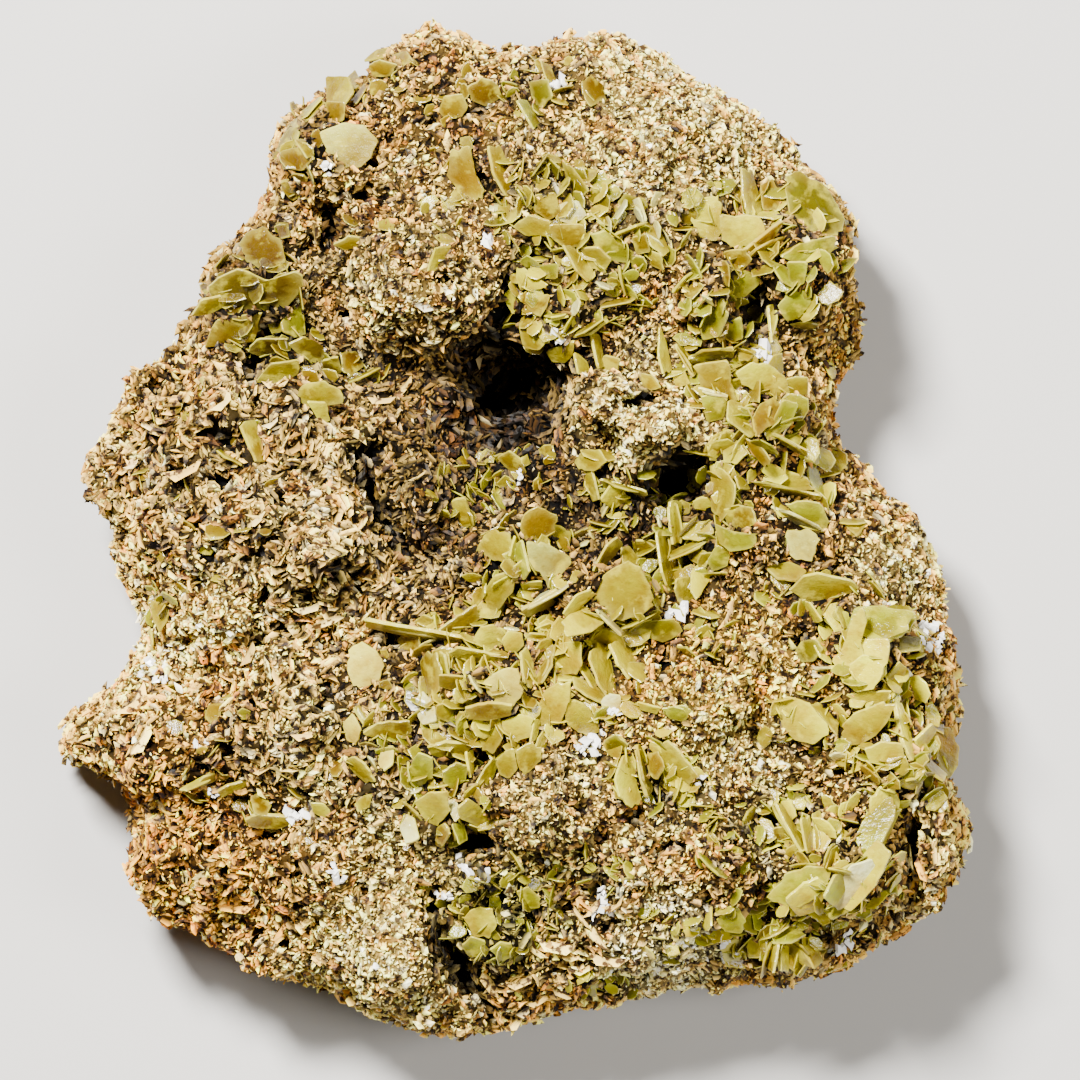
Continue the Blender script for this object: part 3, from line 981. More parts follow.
def matte(name, rgb, roughness):
    """A plain dull material."""
    finish = Finish(name)
    body = finish.node("ShaderNodeBsdfPrincipled", {}, {
        "Base Color": (*rgb, 1), "Roughness": roughness})
    return finish.surface(body)


def shared_finish(name):
    """The material of that name, made the first time it is asked for."""
    if name in bpy.data.materials:
        return bpy.data.materials[name]
    makers = {
        "dolomite_skin": lambda: dolomite_finish("dolomite_skin", 0.05),
        "dolomite_crystal": lambda: dolomite_finish("dolomite_crystal", 0.2),
        "wulfenite_crystal": wulfenite_finish,
        "calcite": calcite_finish,
    }
    return makers[name]()


# Meshes.


def mesh_piece(name, points, faces, tints, finish):
    """A piece on the root body from arrays of points, triangles and a colour for each point."""
    mesh = bpy.data.meshes.new(name)
    count = len(faces)
    mesh.vertices.add(len(points))
    mesh.vertices.foreach_set("co", np.ascontiguousarray(points, dtype=np.float32).ravel())
    mesh.loops.add(count * 3)
    mesh.loops.foreach_set("vertex_index", np.ascontiguousarray(faces, dtype=np.int32).ravel())
    mesh.polygons.add(count)
    mesh.polygons.foreach_set("loop_start", np.arange(count, dtype=np.int32) * 3)
    mesh.update(calc_edges=True)
    if tints is not None:
        add_tint(mesh, tints)
    mesh.shade_flat()
    mesh.validate()
    piece = add_object(name, mesh)
    mesh.materials.append(shared_finish(finish))
    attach(piece, "root")
    return piece


def add_tint(mesh, tints):
    """Gives each point of a mesh its colour."""
    layer = mesh.color_attributes.new("tint", "FLOAT_COLOR", "POINT")
    rgba = np.ones((len(tints), 4), dtype=np.float32)
    rgba[:, :3] = np.clip(tints, 0.0, 1.0)
    layer.data.foreach_set("color", rgba.ravel())


def vectors_of(items, key, kind=np.float32):
    """A property of three numbers of a mesh's points or faces, as rows."""
    values = np.empty(len(items) * 3, dtype=kind)
    items.foreach_get(key, values)
    return values.reshape(-1, 3)


def points_of(mesh):
    """The mesh's points."""
    return vectors_of(mesh.vertices, "co").astype(float)


def tree_of(mesh):
    """A search tree of the mesh's triangles."""
    mesh.calc_loop_triangles()
    triangles = vectors_of(mesh.loop_triangles, "vertices", np.int32)
    return BVHTree.FromPolygons(points_of(mesh).tolist(), triangles.tolist())


# The rock's zones.


def zone_table():
    """The zones as rows of numbers, with their colours' red, green and blue."""
    colours = bpy.context.scene.dolomite_colours
    return np.array([(*place, *getattr(colours, key), coarse, size, weight)
                     for *place, key, coarse, size, weight in ZONES])


def zone_values(x, y):
    """Colour, share of coarse blades and blade size at sheet points."""
    table = zone_table()
    reach = np.exp(-1.3 * spread(x[:, None], y[:, None], *table[:, :5].T)) * table[:, 10]
    key, coarse, size, weight = BASE_ZONE
    base = np.array([*getattr(bpy.context.scene.dolomite_colours, key), coarse, size])
    total = reach.sum(axis=1, keepdims=True) + weight
    blend = (reach @ table[:, 5:10] + weight * base) / total
    return blend[:, :3], blend[:, 3], blend[:, 4]


def crowd_cover(x, y):
    """How closely wulfenite plates crowd at sheet points, from 0 to 1."""
    free = np.ones(len(x))
    for cx, cy, wide, high, turn, count, *_ in CROWDS:
        dense = min(0.9, 80.0 * count / (wide * high))
        away = spread(x, y, cx, cy, wide, high, turn)
        free = np.minimum(free, 1.0 - dense * np.exp(-1.2 * away))
    for rows in PLATES.values():
        for _, _, _, corners in plate_rows(rows):
            cx, cy = corners.mean(axis=0)
            reach = np.hypot(corners[:, 0] - cx, corners[:, 1] - cy).mean() + 8.0
            free *= 1.0 - 0.4 * np.exp(-((x - cx) ** 2 + (y - cy) ** 2) / reach**2)
    return 1.0 - free


def shade_at(x, y):
    """The brightness of places on the sheet, as a factor."""
    factor = np.ones(len(x))
    for *place, strength in SHADES:
        factor *= 1.0 + (strength - 1.0) * np.exp(-spread(x, y, *place))
    return factor


def noise_at(points, size, seed):
    """Smooth noise from -1 to 1 at points, of features of a size in metres."""
    shift = Vector((seed, seed * 0.7, -seed))
    return np.array([noise.noise(Vector(point) / size + shift) for point in points])


class Hill:
    """The rock's dressed skin, to sound for heights and to root crystals on."""

    def __init__(self, mesh):
        self.mesh = mesh
        self.tree = tree_of(mesh)

    def under(self, x, y):
        """(point, normal) of the skin under a sheet point, or None."""
        place, normal, _, _ = self.tree.ray_cast(sheet(x, y, ABOVE), DOWN)
        return None if place is None else (place, normal)

    def sound(self, xs, ys):
        """Points and normals of the skin under arrays of sheet points."""
        found = [hit for hit in map(self.under, xs, ys) if hit]
        return [np.array(part, float) for part in zip(*found)]


WORK = {}  # what the operators hand on: the hill, how deep places lie and where plates stand


def depth_below_around(hill):
    """A function that gives how far points lie below the rock around them, in metres."""
    step, passes = 14.0, 6
    xs = np.arange(20.0, 1020.0, step)
    ys = np.arange(0.0, SHEET_SIDE, step)
    heights = np.zeros((len(ys), len(xs)))
    for j, y in enumerate(ys):
        for i, x in enumerate(xs):
            found = hill.under(x, y)
            heights[j, i] = found[0].z if found else 0.0
    wide = heights.copy()
    for _ in range(passes):
        padded = np.pad(wide, 1, mode="edge")
        wide = sum(padded[a:a + wide.shape[0], b:b + wide.shape[1]]
                   for a in range(3) for b in range(3)) / 9.0

    def below(points):
        """How far points lie below the rock around them."""
        x, y = to_sheet(points)
        i = np.clip(((x - xs[0]) / step).round().astype(int), 0, len(xs) - 1)
        j = np.clip(((y - ys[0]) / step).round().astype(int), 0, len(ys) - 1)
        return np.clip(wide[j, i] - points[:, 2], 0.0, None)

    return below


def pit_depth(x, y):
    """How deep the listed pits are at sheet points, in millimetres."""
    depth = np.zeros(len(x))
    for deep, pits in PITS.items():
        for pit in pits:
            wall = np.clip(2.1 - 1.4 * np.sqrt(spread(x, y, *pit)), 0.0, 1.0)
            depth = np.maximum(depth, 1.3 * deep * wall)
    return depth


def hollow_at(points):
    """How hollow the skin is at points, from 0 to 1: voids of two sizes."""
    wide = noise_at(points, 3.0 * MM, 12.0) * 3.2 - 0.9
    small = noise_at(points, 1.5 * MM, 17.0) * 3.0 - 0.9
    return np.clip(np.maximum(wide, small), 0.0, 1.0)


def weather_at(points):
    """How the rock's colours drift with staining and bleaching, as colour factors."""
    stain = np.clip(noise_at(points, 2.6 * MM, 23.0) * 2.6 - 0.25, 0.0, 1.0)[:, None]
    bleach = np.clip(noise_at(points, 4.0 * MM, 31.0) * 2.6 - 0.25, 0.0, 1.0)[:, None]
    return (1.0 + stain * (-0.10, -0.30, -0.55)) * (1.0 + bleach * (0.20, 0.17, 0.12))


def outside_vug(x, y):
    """Which sheet points lie outside the pocket."""
    return spread(x, y, *VUG) > 1.0


def fall(heights, top, run):
    """How far heights lie under top, from 0 to 1 over run."""
    return np.clip((top - heights) / run, 0.0, 1.0)


def fine_skin():
    """The mesh of the CAD rock, remeshed fine and softened."""
    work = add_object("skin_work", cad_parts[ROCK_NODE].data.copy())
    remesh = work.modifiers.new("fine", "REMESH")
    remesh.mode = "VOXEL"
    remesh.voxel_size = bpy.context.scene.rock_settings.skin_voxel
    soften = work.modifiers.new("soften", "SMOOTH")
    soften.factor = 0.5
    soften.iterations = 6
    triangulate = work.modifiers.new("triangles", "TRIANGULATE")
    triangulate.quad_method = "SHORTEST_DIAGONAL"
    bpy.context.view_layer.update()
    graph = bpy.context.evaluated_depsgraph_get()
    mesh = bpy.data.meshes.new_from_object(work.evaluated_get(graph), depsgraph=graph)
    bpy.data.objects.remove(work)
    return mesh


def dress_rock():
    """The rock's skin: the CAD rock made fine, roughened and pitted, dark between its crystals."""
    mesh = fine_skin()
    points, normals = points_of(mesh), vectors_of(mesh.vertices, "normal").astype(float)
    lumps = sum(noise_at(points, size * MM, seed) * high for size, seed, high in LUMPS)
    crack = np.clip(1.0 - np.abs(noise_at(points, 7.0 * MM, 6.0)) / 0.09, 0.0, 1.0)
    crack *= np.clip(noise_at(points, 20.0 * MM, 4.0) * 3.0 + 0.7, 0.0, 1.0)
    pores = hollow_at(points)
    level = np.clip((points[:, 2] - 0.3 * MM) / (2.0 * MM), 0.0, 1.0)
    points += normals * ((lumps - 0.2 - 1.2 * crack - 1.3 * pores) * MM * level)[:, None]
    x, y = to_sheet(points)
    pit = pit_depth(x, y) * (normals[:, 2] > 0.0) * level
    points[:, 2] -= pit * MM
    points[:, 2] = np.clip(points[:, 2], 0.0, None)
    mesh.vertices.foreach_set("co", points.astype(np.float32).ravel())
    mesh.update()
    hill = Hill(mesh)
    below = depth_below_around(hill)
    WORK["hill"], WORK["below"] = hill, below
    tint, coarse, _ = zone_values(x, y)
    dim = (0.22 - 0.19 * coarse.clip(0.0, 0.6) / 0.6) * (1.0 - 0.8 * crack)
    dim *= (1.0 - 0.7 * pores) * np.exp(-0.9 * pit)
    dim *= 1.0 - 0.4 * np.clip(lumps * -1.4, 0.0, 1.0)
    dim *= np.clip(1.0 - below(points) / (9.0 * MM), 0.3, 1.0)
    dim *= 1.0 - 0.92 * crowd_cover(x, y)
    flank = fall(normals[:, 2], 0.5, 0.4) * fall(points[:, 2], FLANK_TOP, 8.0 * MM)
    foot = fall(points[:, 2], FLANK_FOOT, 6.0 * MM)
    dim = np.maximum(dim, (0.34 - 0.15 * foot) * flank * outside_vug(x, y))
    dim *= shade_at(x, y)
    add_tint(mesh, tint * dim[:, None] * (1.0, 0.88, 0.72) * weather_at(points))
    mesh.shade_smooth()
    skin = add_object("dolomite_skin", mesh)
    mesh.materials.clear()
    mesh.materials.append(shared_finish("dolomite_skin"))
    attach(skin, "root")
    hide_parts(ROCK_NODE)


# Crystal forms, each about its middle, in a box from -1 to 1.


def blade_form():
    """A lens-shaped blade, thick in its middle and thin at its rim: points and triangles."""
    rim = [(-1.1, 0.0), (-0.6, -0.9), (0.62, -0.8), (1.05, 0.05), (0.55, 0.9), (-0.62, 0.8)]
    points = [(x, y, 0.0) for x, y in rim] + [(-0.1, 0, -1), (0.1, 0, 1)]
    faces = []
    for i in range(6):
        k = (i + 1) % 6
        faces += [(6, k, i), (7, i, k)]
    return np.array(points), np.array(faces)


def block_form():
    """A rhomb-shaped block."""
    ends = (-1, 1)
    points = np.array([(u + 0.3 * v, v, w) for w in ends for v in ends for u in ends])
    faces = [(0, 2, 3), (0, 3, 1), (4, 5, 7), (4, 7, 6), (0, 1, 5), (0, 5, 4),
             (2, 6, 7), (2, 7, 3), (0, 4, 6), (0, 6, 2), (1, 3, 7), (1, 7, 5)]
    return points, np.array(faces)


def grain_form():
    """A small pointed crystal, long and a little flat."""
    points = [(-1, 0, 0), (0.1, -0.8, 0.1), (1, 0, 0), (-0.1, 0.8, -0.1), (0, 0, -0.8), (0, 0, 0.8)]
    ring = [(i, (i + 1) % 4) for i in range(4)]
    faces = [(i, k, 5) for i, k in ring] + [(k, i, 4) for i, k in ring]
    return np.array(points), np.array(faces)


def table_form(sides):
    """A thin table with a bevelled rim: points, triangles and how near the rim each point is."""
    angles = (np.arange(sides) + 0.5) / sides * math.tau
    ring = np.stack([np.cos(angles), np.sin(angles), np.zeros(sides)], axis=1)
    rings = []
    for scale, height in ((0.88, -1.0), (1.0, 0.0), (0.88, 1.0)):
        rings.append(ring * (scale, scale, 0) + (0, 0, height))
    points = np.concatenate(rings + [np.array([[0, 0, -1.0], [0, 0, 1.0]])])
    faces, last = [], 3 * sides
    for i in range(sides):
        k = (i + 1) % sides
        faces.append((last, k, i))
        faces.append((last + 1, 2 * sides + i, 2 * sides + k))
        for ring_at in (0, sides):
            a, b = ring_at + i, ring_at + k
            faces += [(a, b, b + sides), (a, b + sides, a + sides)]
    rim = np.array([0.6] * sides + [1.0] * sides + [0.6] * sides + [0.0, 0.0])
    return points, np.array(faces), rim


def spread_form(form, places, axes, sizes, rng, jitter, bend=0.0):
    """Copies of a form at places: axes are rows of unit vectors, sizes half lengths along them."""
    points, faces = form
    rough = points[None] + rng.normal(0.0, jitter, (len(places), len(points), 3))
    local = rough * sizes[:, None, :]
    curve = rng.normal(bend, bend * 0.6, (len(places), 1)) * sizes[:, :1]
    local[:, :, 2] += curve * (rough[:, :, 0] ** 2 - 0.5 * rough[:, :, 1] ** 2)
    turned = np.einsum("nki,nij->nkj", local, axes)
    made = (turned + places[:, None, :]).reshape(-1, 3)
    shift = (np.arange(len(places)) * len(points))[:, None, None]
    return made, (faces[None] + shift).reshape(-1, 3)


def crystal_axes(normals, heading, lean):
    """Axes of crystals: long axis along a heading in the surface, face leaning from its normal."""
    flat = np.stack([np.cos(heading), np.sin(heading), np.zeros(len(heading))], axis=1)
    long = unit(flat - normals * (flat * normals).sum(axis=1, keepdims=True))
    side = np.cross(normals, long)
    face = unit(normals * np.cos(lean)[:, None] + side * np.sin(lean)[:, None])
    return np.stack([long, np.cross(face, long), face], axis=1)


def jittered_grid(spacing, rng):
    """Sheet points on a jittered grid over the whole sheet."""
    step = spacing / TENTH
    x, y = np.meshgrid(np.arange(30.0, 1000.0, step), np.arange(10.0, 1060.0, step))
    x, y = x.ravel(), y.ravel()
    return x + rng.uniform(-0.5, 0.5, len(x)) * step, y + rng.uniform(-0.5, 0.5, len(y)) * step


def in_plan(x, y, corners):
    """Indices of the sheet points that lie in a plate's plan."""
    cx, cy = corners.mean(axis=0)
    near = np.flatnonzero(np.hypot(x - cx, y - cy) < PLATE_REACH)
    x, y = x[near], y[near]
    inside = np.zeros(len(near), bool)
    for (ax, ay), (bx, by) in zip(corners, np.roll(corners, -1, axis=0)):
        inside ^= ((ay > y) != (by > y)) & (x < (bx - ax) * (y - ay) / (by - ay + 1e-9) + ax)
    return near[inside]


def height_over(middle, face, points):
    """How high a plate's plane is over each point."""
    out = points - np.array(middle)
    return middle.z - (face.x * out[:, 0] + face.y * out[:, 1]) / face.z - points[:, 2]


def under_plates(points, rise):
    """Which points lie in the plan of a plate that is lower than rise over them."""
    x, y = to_sheet(points)
    hidden = np.zeros(len(points), bool)
    for middle, face, corners in WORK["plates"]:
        near = in_plan(x, y, corners)
        hidden[near] |= height_over(middle, face, points[near]) < rise
    return hidden


def region_of(points):
    """Names the quarter of the rock that each point is in."""
    x, y = to_sheet(points)
    names = np.full(len(points), "middle", dtype="<U6")
    names[x < 430] = "left"
    names[x > 690] = "right"
    names[y < 395] = "head"
    names[(y > 830) & (x < 700)] = "foot"
    return names


def flank_points(count, rng):
    """Points and normals spread by area over the rock's steep sides."""
    mesh = WORK["hill"].mesh
    area = np.empty(len(mesh.polygons))
    mesh.polygons.foreach_get("area", area)
    centre, normal = (vectors_of(mesh.polygons, key, float) for key in ("center", "normal"))
    over_floor = centre[:, 2] - 1.5 * MM
    chance = area * (normal[:, 2] < STEEP) * (normal[:, 2] > -0.6)
    chance *= np.clip(over_floor / (10.0 * MM), 0.12, 1.0) * (over_floor > 0)
    picked = rng.choice(len(area), size=count, p=chance / chance.sum(), replace=False)
    return centre[picked], normal[picked]


def crystal_tints(points, rng, range_of_light):
    """Colours of crystals at points: the zone's, varied from crystal to crystal, dim in hollows."""
    x, y = to_sheet(points)
    tint, coarse, _ = zone_values(x, y)
    tint = tint * (1.0 + rng.normal(0.0, range_of_light, len(points)))[:, None]
    stained = rng.random(len(points)) < 0.16
    tint = np.where(stained[:, None], tint * (0.62, 0.46, 0.30), tint)
    warm = rng.normal(0.0, 0.05, len(points))
    tint = tint * np.stack([1 + warm, np.ones(len(points)), 1 - 1.6 * warm], axis=1)
    tint = tint * ((1.0 - 0.7 * crowd_cover(x, y)) * np.exp(-0.35 * pit_depth(x, y)))[:, None]
    tint = tint * (1.0 - (0.12 + 0.43 * coarse) * hollow_at(points))[:, None]
    tint = tint * weather_at(points) * shade_at(x, y)[:, None] * (1.03, 0.97, 0.80)
    glint = rng.random(len(points)) < 0.1
    tint = np.where(glint[:, None], np.sqrt(np.clip(tint, 0.0, 1.0)) * 0.95, tint)
    return tint * np.clip(1.0 - WORK["below"](points) / (11.0 * MM), 0.45, 1.0)[:, None]


def add_pieces(stem, points, faces, tints, per, places, finish):
    """Splits copies of a form by region and makes one piece of each."""
    names = region_of(places)
    sides = len(faces) // len(places)
    for name in sorted(set(names)):
        rows = np.flatnonzero(names == name)[:, None]
        chosen = (rows * per + np.arange(per)).ravel()
        wanted = faces[(rows * sides + np.arange(sides)).ravel()]
        lookup = np.full(len(points), -1)
        lookup[chosen] = np.arange(len(chosen))
        mesh_piece(stem + "_" + name, points[chosen], lookup[wanted], tints[chosen], finish)


def shaded(tints, made, roots, normals, reach, low, high):
    """Colours of the crystals' points: low times their tints at the skin, high at reach over it."""
    over = made.reshape(len(roots), -1, 3) - roots[:, None, :]
    height = np.clip(np.einsum("nki,ni->nk", over, normals) / reach, 0.0, 1.0)
    side = (normals[:, 2] < STEEP) & (roots[:, 2] < FLANK_TOP) & outside_vug(*to_sheet(roots))
    foot = fall(roots[:, 2], FLANK_FOOT, 6.0 * MM)
    low = np.where(side, 0.28 + 0.4 * foot, low)[:, None]
    shade = low + (high - low) * height**2
    return (tints[:, None, :] * shade[:, :, None]).reshape(-1, 3)


def grow_blades():
    """Stacks of curved dolomite blades over the coarse zones and the sides."""
    settings = bpy.context.scene.rock_settings
    rng = np.random.default_rng(settings.seed)
    xs, ys = jittered_grid(settings.blade_spacing, rng)
    points, normals = WORK["hill"].sound(xs, ys)
    x, y = to_sheet(points)
    _, coarse, size = zone_values(x, y)
    chance = (coarse * 1.2 - 0.08) * (1.0 - 0.6 * crowd_cover(x, y)) * (pit_depth(x, y) < 1.6)
    chance *= 1.0 - 0.7 * hollow_at(points)
    chance *= 1.0 - 0.55 * np.exp(-spread(x, y, *DARK_VUG))
    keep = (rng.random(len(points)) < chance) & (normals[:, 2] > 0.25)
    points, normals, size = points[keep], normals[keep], size[keep]
    count = int(FLANK_AREA / settings.flank_spacing**2)
    more, more_normals = flank_points(count, rng)
    size = np.concatenate([size, np.full(count, 1.35)])
    points, normals = np.concatenate([points, more]), np.concatenate([normals, more_normals])
    heading = noise_at(points, 3.4 * MM, 2.0) * 8.0 + rng.normal(0.0, 0.8, len(points))
    lean = np.radians(rng.uniform(62, 98, len(points)))
    base = crystal_tints(points, rng, 0.16)
    rows = []
    for step in (-1, 0, 1):
        turn = rng.normal(0.0, 0.22, len(points)) + step * 0.2
        stance = crystal_axes(normals, heading + turn, lean + step * 0.16)
        thick = size * rng.uniform(0.09, 0.16, len(points)) * MM
        rise = size * rng.uniform(0.05, 0.34, len(points)) * MM
        place = points + stance[:, 2] * (step * size * 0.30 * MM)[:, None]
        place += normals * rise[:, None]
        place += stance[:, 0] * (size * rng.normal(0.0, 0.18, len(points)) * MM)[:, None]
        long = size * rng.uniform(0.28, 0.68, len(points)) * MM
        wide = size * rng.uniform(0.16, 0.35, len(points)) * MM
        rows.append((place, stance, np.stack([long, wide, thick], axis=1),
                     base * rng.uniform(0.75, 1.2, len(points))[:, None], points, normals))
    parts = [np.concatenate(part) for part in zip(*rows)]
    keep = ~under_plates(parts[0], 1.1 * MM) & (rng.random(len(parts[0])) < BLADE_SHARE)
    places, axes, sizes, tints, roots, normals = (part[keep] for part in parts)
    form = blade_form()
    made, faces = spread_form(form, places, axes, sizes, rng, 0.1, 0.3)
    tints = shaded(tints, made, roots, normals, 0.95 * MM, 0.04, 1.9)
    add_pieces("dolomite_blades", made, faces, tints, len(form[0]), places,
               "dolomite_crystal")


def grow_lenses():
    """The largest dolomite lenses, each where it is listed."""
    rng = np.random.default_rng(LENS_SEED)
    rows = []
    for key, lenses in LENSES.items():
        own = np.array(getattr(bpy.context.scene.dolomite_colours, key))
        own *= 0.7 if key == "umber" else 1.0
        for x, y, long, turn in lenses:
            found = WORK["hill"].under(x, y)
            half = long * TENTH / 2
            lean, breadth = np.radians([rng.uniform(50, 80)]), rng.uniform(0.4, 0.55)
            light = rng.uniform(0.7, 1.2)
            if not found:
                continue
            normal = unit(np.array(found[1]) + (0, 0, 1.0))
            stance = crystal_axes(normal[None], np.radians([turn]), lean)[0]
            rows.append((np.array(found[0]) + normal * half * 0.5, stance,
                         (half, half * breadth, half * 0.17), own * light, normal))
    places, axes, sizes, tints, normals = map(np.array, zip(*rows))
    made, faces = spread_form(blade_form(), places, axes, sizes, rng, 0.06, 0.25)
    roots = places - normals * 0.9 * MM
    tints = shaded(tints, made, roots, normals, 1.6 * MM, 0.2, 1.25)
    mesh_piece("dolomite_lenses", made, faces, tints, "dolomite_crystal")


def grow_grains():
    """Small pointed dolomite crystals over the finer zones."""
    settings = bpy.context.scene.rock_settings
    rng = np.random.default_rng(settings.seed + 1)
    xs, ys = jittered_grid(settings.grain_spacing, rng)
    points, normals = WORK["hill"].sound(xs, ys)
    x, y = to_sheet(points)
    _, coarse, _ = zone_values(x, y)
    chance = (1.2 - 0.85 * coarse) * (1.0 - 0.4 * crowd_cover(x, y)) * (pit_depth(x, y) < 1.2)
    chance *= 1.0 - (0.2 + 0.6 * coarse) * hollow_at(points)
    keep = (rng.random(len(points)) < chance) & (normals[:, 2] > 0.1)
    keep &= ~under_plates(points, 0.9 * MM)
    more, more_normals = flank_points(FLANK_GRAINS, rng)
    points = np.concatenate([points[keep], more])
    normals = np.concatenate([normals[keep], more_normals])
    count = len(points)
    axes = crystal_axes(normals, rng.uniform(0, math.tau, count), rng.uniform(0.0, 1.3, count))
    lift = rng.normal(0.0, 0.9, count)[:, None]
    long = unit(axes[:, 0] + normals * lift)
    axes = np.stack([long, unit(np.cross(axes[:, 2], long)), axes[:, 2]], axis=1)
    sizes = rng.uniform(0.7, 1.3, (count, 3)) * MM * (0.29, 0.22, 0.18)
    sizes *= np.where(rng.random(count) < 0.16, rng.uniform(1.5, 2.4, count), 0.95)[:, None]
    sizes[-FLANK_GRAINS:] *= 1.5
    places = points + normals * rng.uniform(-0.05, 0.3, (count, 1)) * MM
    tints = crystal_tints(points, rng, 0.24)
    form = grain_form()
    made, faces = spread_form(form, places, axes, sizes, rng, 0.12)
    tints = shaded(tints, made, points, normals, 0.4 * MM, 0.07, 1.95)
    add_pieces("dolomite_grains", made, faces, tints, len(form[0]), places,
               "dolomite_crystal")


# Wulfenite.


def facing(tilt, toward):
    """The normal of a face that is tilted from level towards a bearing, both in degrees."""
    tilt, toward = math.radians(tilt), math.radians(toward)
    flat = math.sin(tilt)
    return Vector((flat * math.cos(toward), flat * math.sin(toward), math.cos(tilt)))


def seat_plates():
    """Works out where every listed plate stands: its middle, its face and its rim."""
    tree = WORK["hill"].tree
    seats, spots = {}, []
    for name, rows in PLATES.items():
        seats[name] = []
        for key, tilt, toward, corners in plate_rows(rows):
            face = facing(tilt, toward)
            middle = sheet(*corners.mean(axis=0))
            rim = []
            for x, y in corners:
                out = sheet(x, y) - middle
                out.z = -(face.x * out.x + face.y * out.y) / face.z
                rim.append(out)
            middle.z = seat_height(tree, middle, rim)
            seats[name].append((key, middle, face, rim))
            spots.append((middle, face, corners))
    WORK["seats"], WORK["plates"] = seats, spots
    press_under(spots)


def press_under(spots):
    """Lowers the skin where it would come through the face of a plate."""
    mesh = WORK["hill"].mesh
    points = points_of(mesh)
    x, y = to_sheet(points)
    for middle, face, corners in spots:
        near = in_plan(x, y, corners)
        near = near[points[near, 2] > 8.0 * MM]
        over = 0.45 * MM - height_over(middle, face, points[near])
        low = (over > 0) & (over < (8.0 if face.z > 0.6 else 2.6) * MM)
        points[near[low], 2] -= over[low]
    mesh.vertices.foreach_set("co", points.astype(np.float32).ravel())
    mesh.update()
    WORK["hill"] = Hill(mesh)


def seat_height(rock, middle, rim):
    """The height at which about a quarter of a plate's rim is under the rock's skin."""
    around = rim + [(a + b) / 2 for a, b in zip(rim, rim[1:] + rim[:1])]
    heights = []
    for out in around:
        over = Vector((middle.x + out.x, middle.y + out.y, ABOVE))
        point, _, _, _ = rock.ray_cast(over, DOWN)
        if point is not None and point.z > LOWEST_SEAT:
            heights.append(point.z - out.z)
    if not heights:
        return rock.find_nearest(Vector((middle.x, middle.y, FALLBACK_SEAT)))[0].z
    heights.sort()
    return heights[int((len(heights) - 1) * HIGH_SHARE)] + 0.6 * MM


def chipped(rim, rng):
    """A rim with its corners cut and its sides broken into short uneven lengths."""
    out = []
    for a, b in zip(rim, np.roll(rim, -1, axis=0)):
        for share in (0.08, 0.36, 0.64, 0.92):
            out.append(a * (1.0 - share) + b * share)
    out = np.array(out)
    chips = 1.0 + rng.normal(0.0, 0.022, len(out)) - 0.10 * (rng.random(len(out)) < 0.10)
    return out * chips[:, None]


def plate_shape(middle, face, rim, rng):
    """Points, triangles and rim nearness of a plate: bevelled, gently warped, with growth steps."""
    rim = chipped(np.array([tuple(out) for out in rim]), rng)
    normal = np.array(face)
    across = unit(np.cross(normal, (0.0, 0.0, 1.0)) + (1e-6, 0, 0))
    dip = np.cross(normal, across)
    a, b = rim @ across, rim @ dip
    if (a * np.roll(b, -1) - b * np.roll(a, -1)).sum() < 0:
        a, b = a[::-1], b[::-1]
    size = max(np.ptp(a), np.ptp(b))
    count = len(a)
    half = rng.uniform(0.09, 0.17) * MM * min(1.5, 0.7 + size / (9 * MM))
    step = rng.uniform(0.0, 0.2) * half
    rings = [(0.96, -half), (1.0, -half * 0.6), (1.0, half * 0.6), (0.975, half),
             (0.62, half * 1.05), (0.52, half + step)]
    nearness = [0.8, 1.0, 1.0, 0.8, 0.12, 0.06]
    twist = rng.normal(0.0, 0.045, 3) / max(size, 1e-6)
    shift = rng.normal(0.0, 0.16, 2) * size
    points, near = [], []
    for (scale, height), close in zip(rings, nearness):
        drift = (1.0 - scale) * 0.8
        rough = 1.0 + rng.normal(0.0, 0.10, count) * (scale < 0.9)
        u = a * scale * rough + shift[0] * drift
        v = b * scale * rough + shift[1] * drift
        bend = twist[0] * u * u + twist[1] * u * v + twist[2] * v * v
        points.append(u[:, None] * across + v[:, None] * dip + (height + bend)[:, None] * normal)
        near += [close] * count
    top = shift[0] * 0.8 * across + shift[1] * 0.8 * dip + normal * (half + step)
    points.append(np.array([-normal * half, top]))
    near += [0.3, 0.0]
    last = len(rings) * count
    faces = []
    for i in range(count):
        k = (i + 1) % count
        faces.append((last, k, i))
        faces.append((last + 1, last - count + i, last - count + k))
        for ring in range(len(rings) - 1):
            p, q = ring * count + i, ring * count + k
            faces += [(p, q, q + count), (p, q + count, p + count)]
    return np.concatenate(points) + np.array(middle), np.array(faces), np.array(near)


def plate_tints(key, points, near, rng):
    """A plate's colours: a drift from lemon to amber across it, and lighter along its rim."""
    colours = bpy.context.scene.wulfenite_colours
    own = np.array(getattr(colours, key)) * rng.uniform(0.85, 1.15)
    out = points - points.mean(axis=0)
    along = out @ unit(rng.normal(0.0, 0.7, 3) + (-0.4, 0.5, 0.5))
    drift = along / max(np.abs(along).max(), 0.1 * MM)
    own = own * (0.88 + drift[:, None] * (0.30, 0.38, 0.4))
    x, y = to_sheet(points)
    rise = (points[:, 2] - points[:, 2].mean()) / (np.ptp(points[:, 2]) + 1.0 * MM)
    own = own * (1.0 + rise[:, None] * (0.6, 0.75, 0.7)) * shade_at(x, y)[:, None]
    light = own * 0.3 + np.array(colours.rim) * 0.7
    share = np.clip(near, 0, 1)[:, None] ** 5 * 0.85
    return own * (1 - share) + light * share


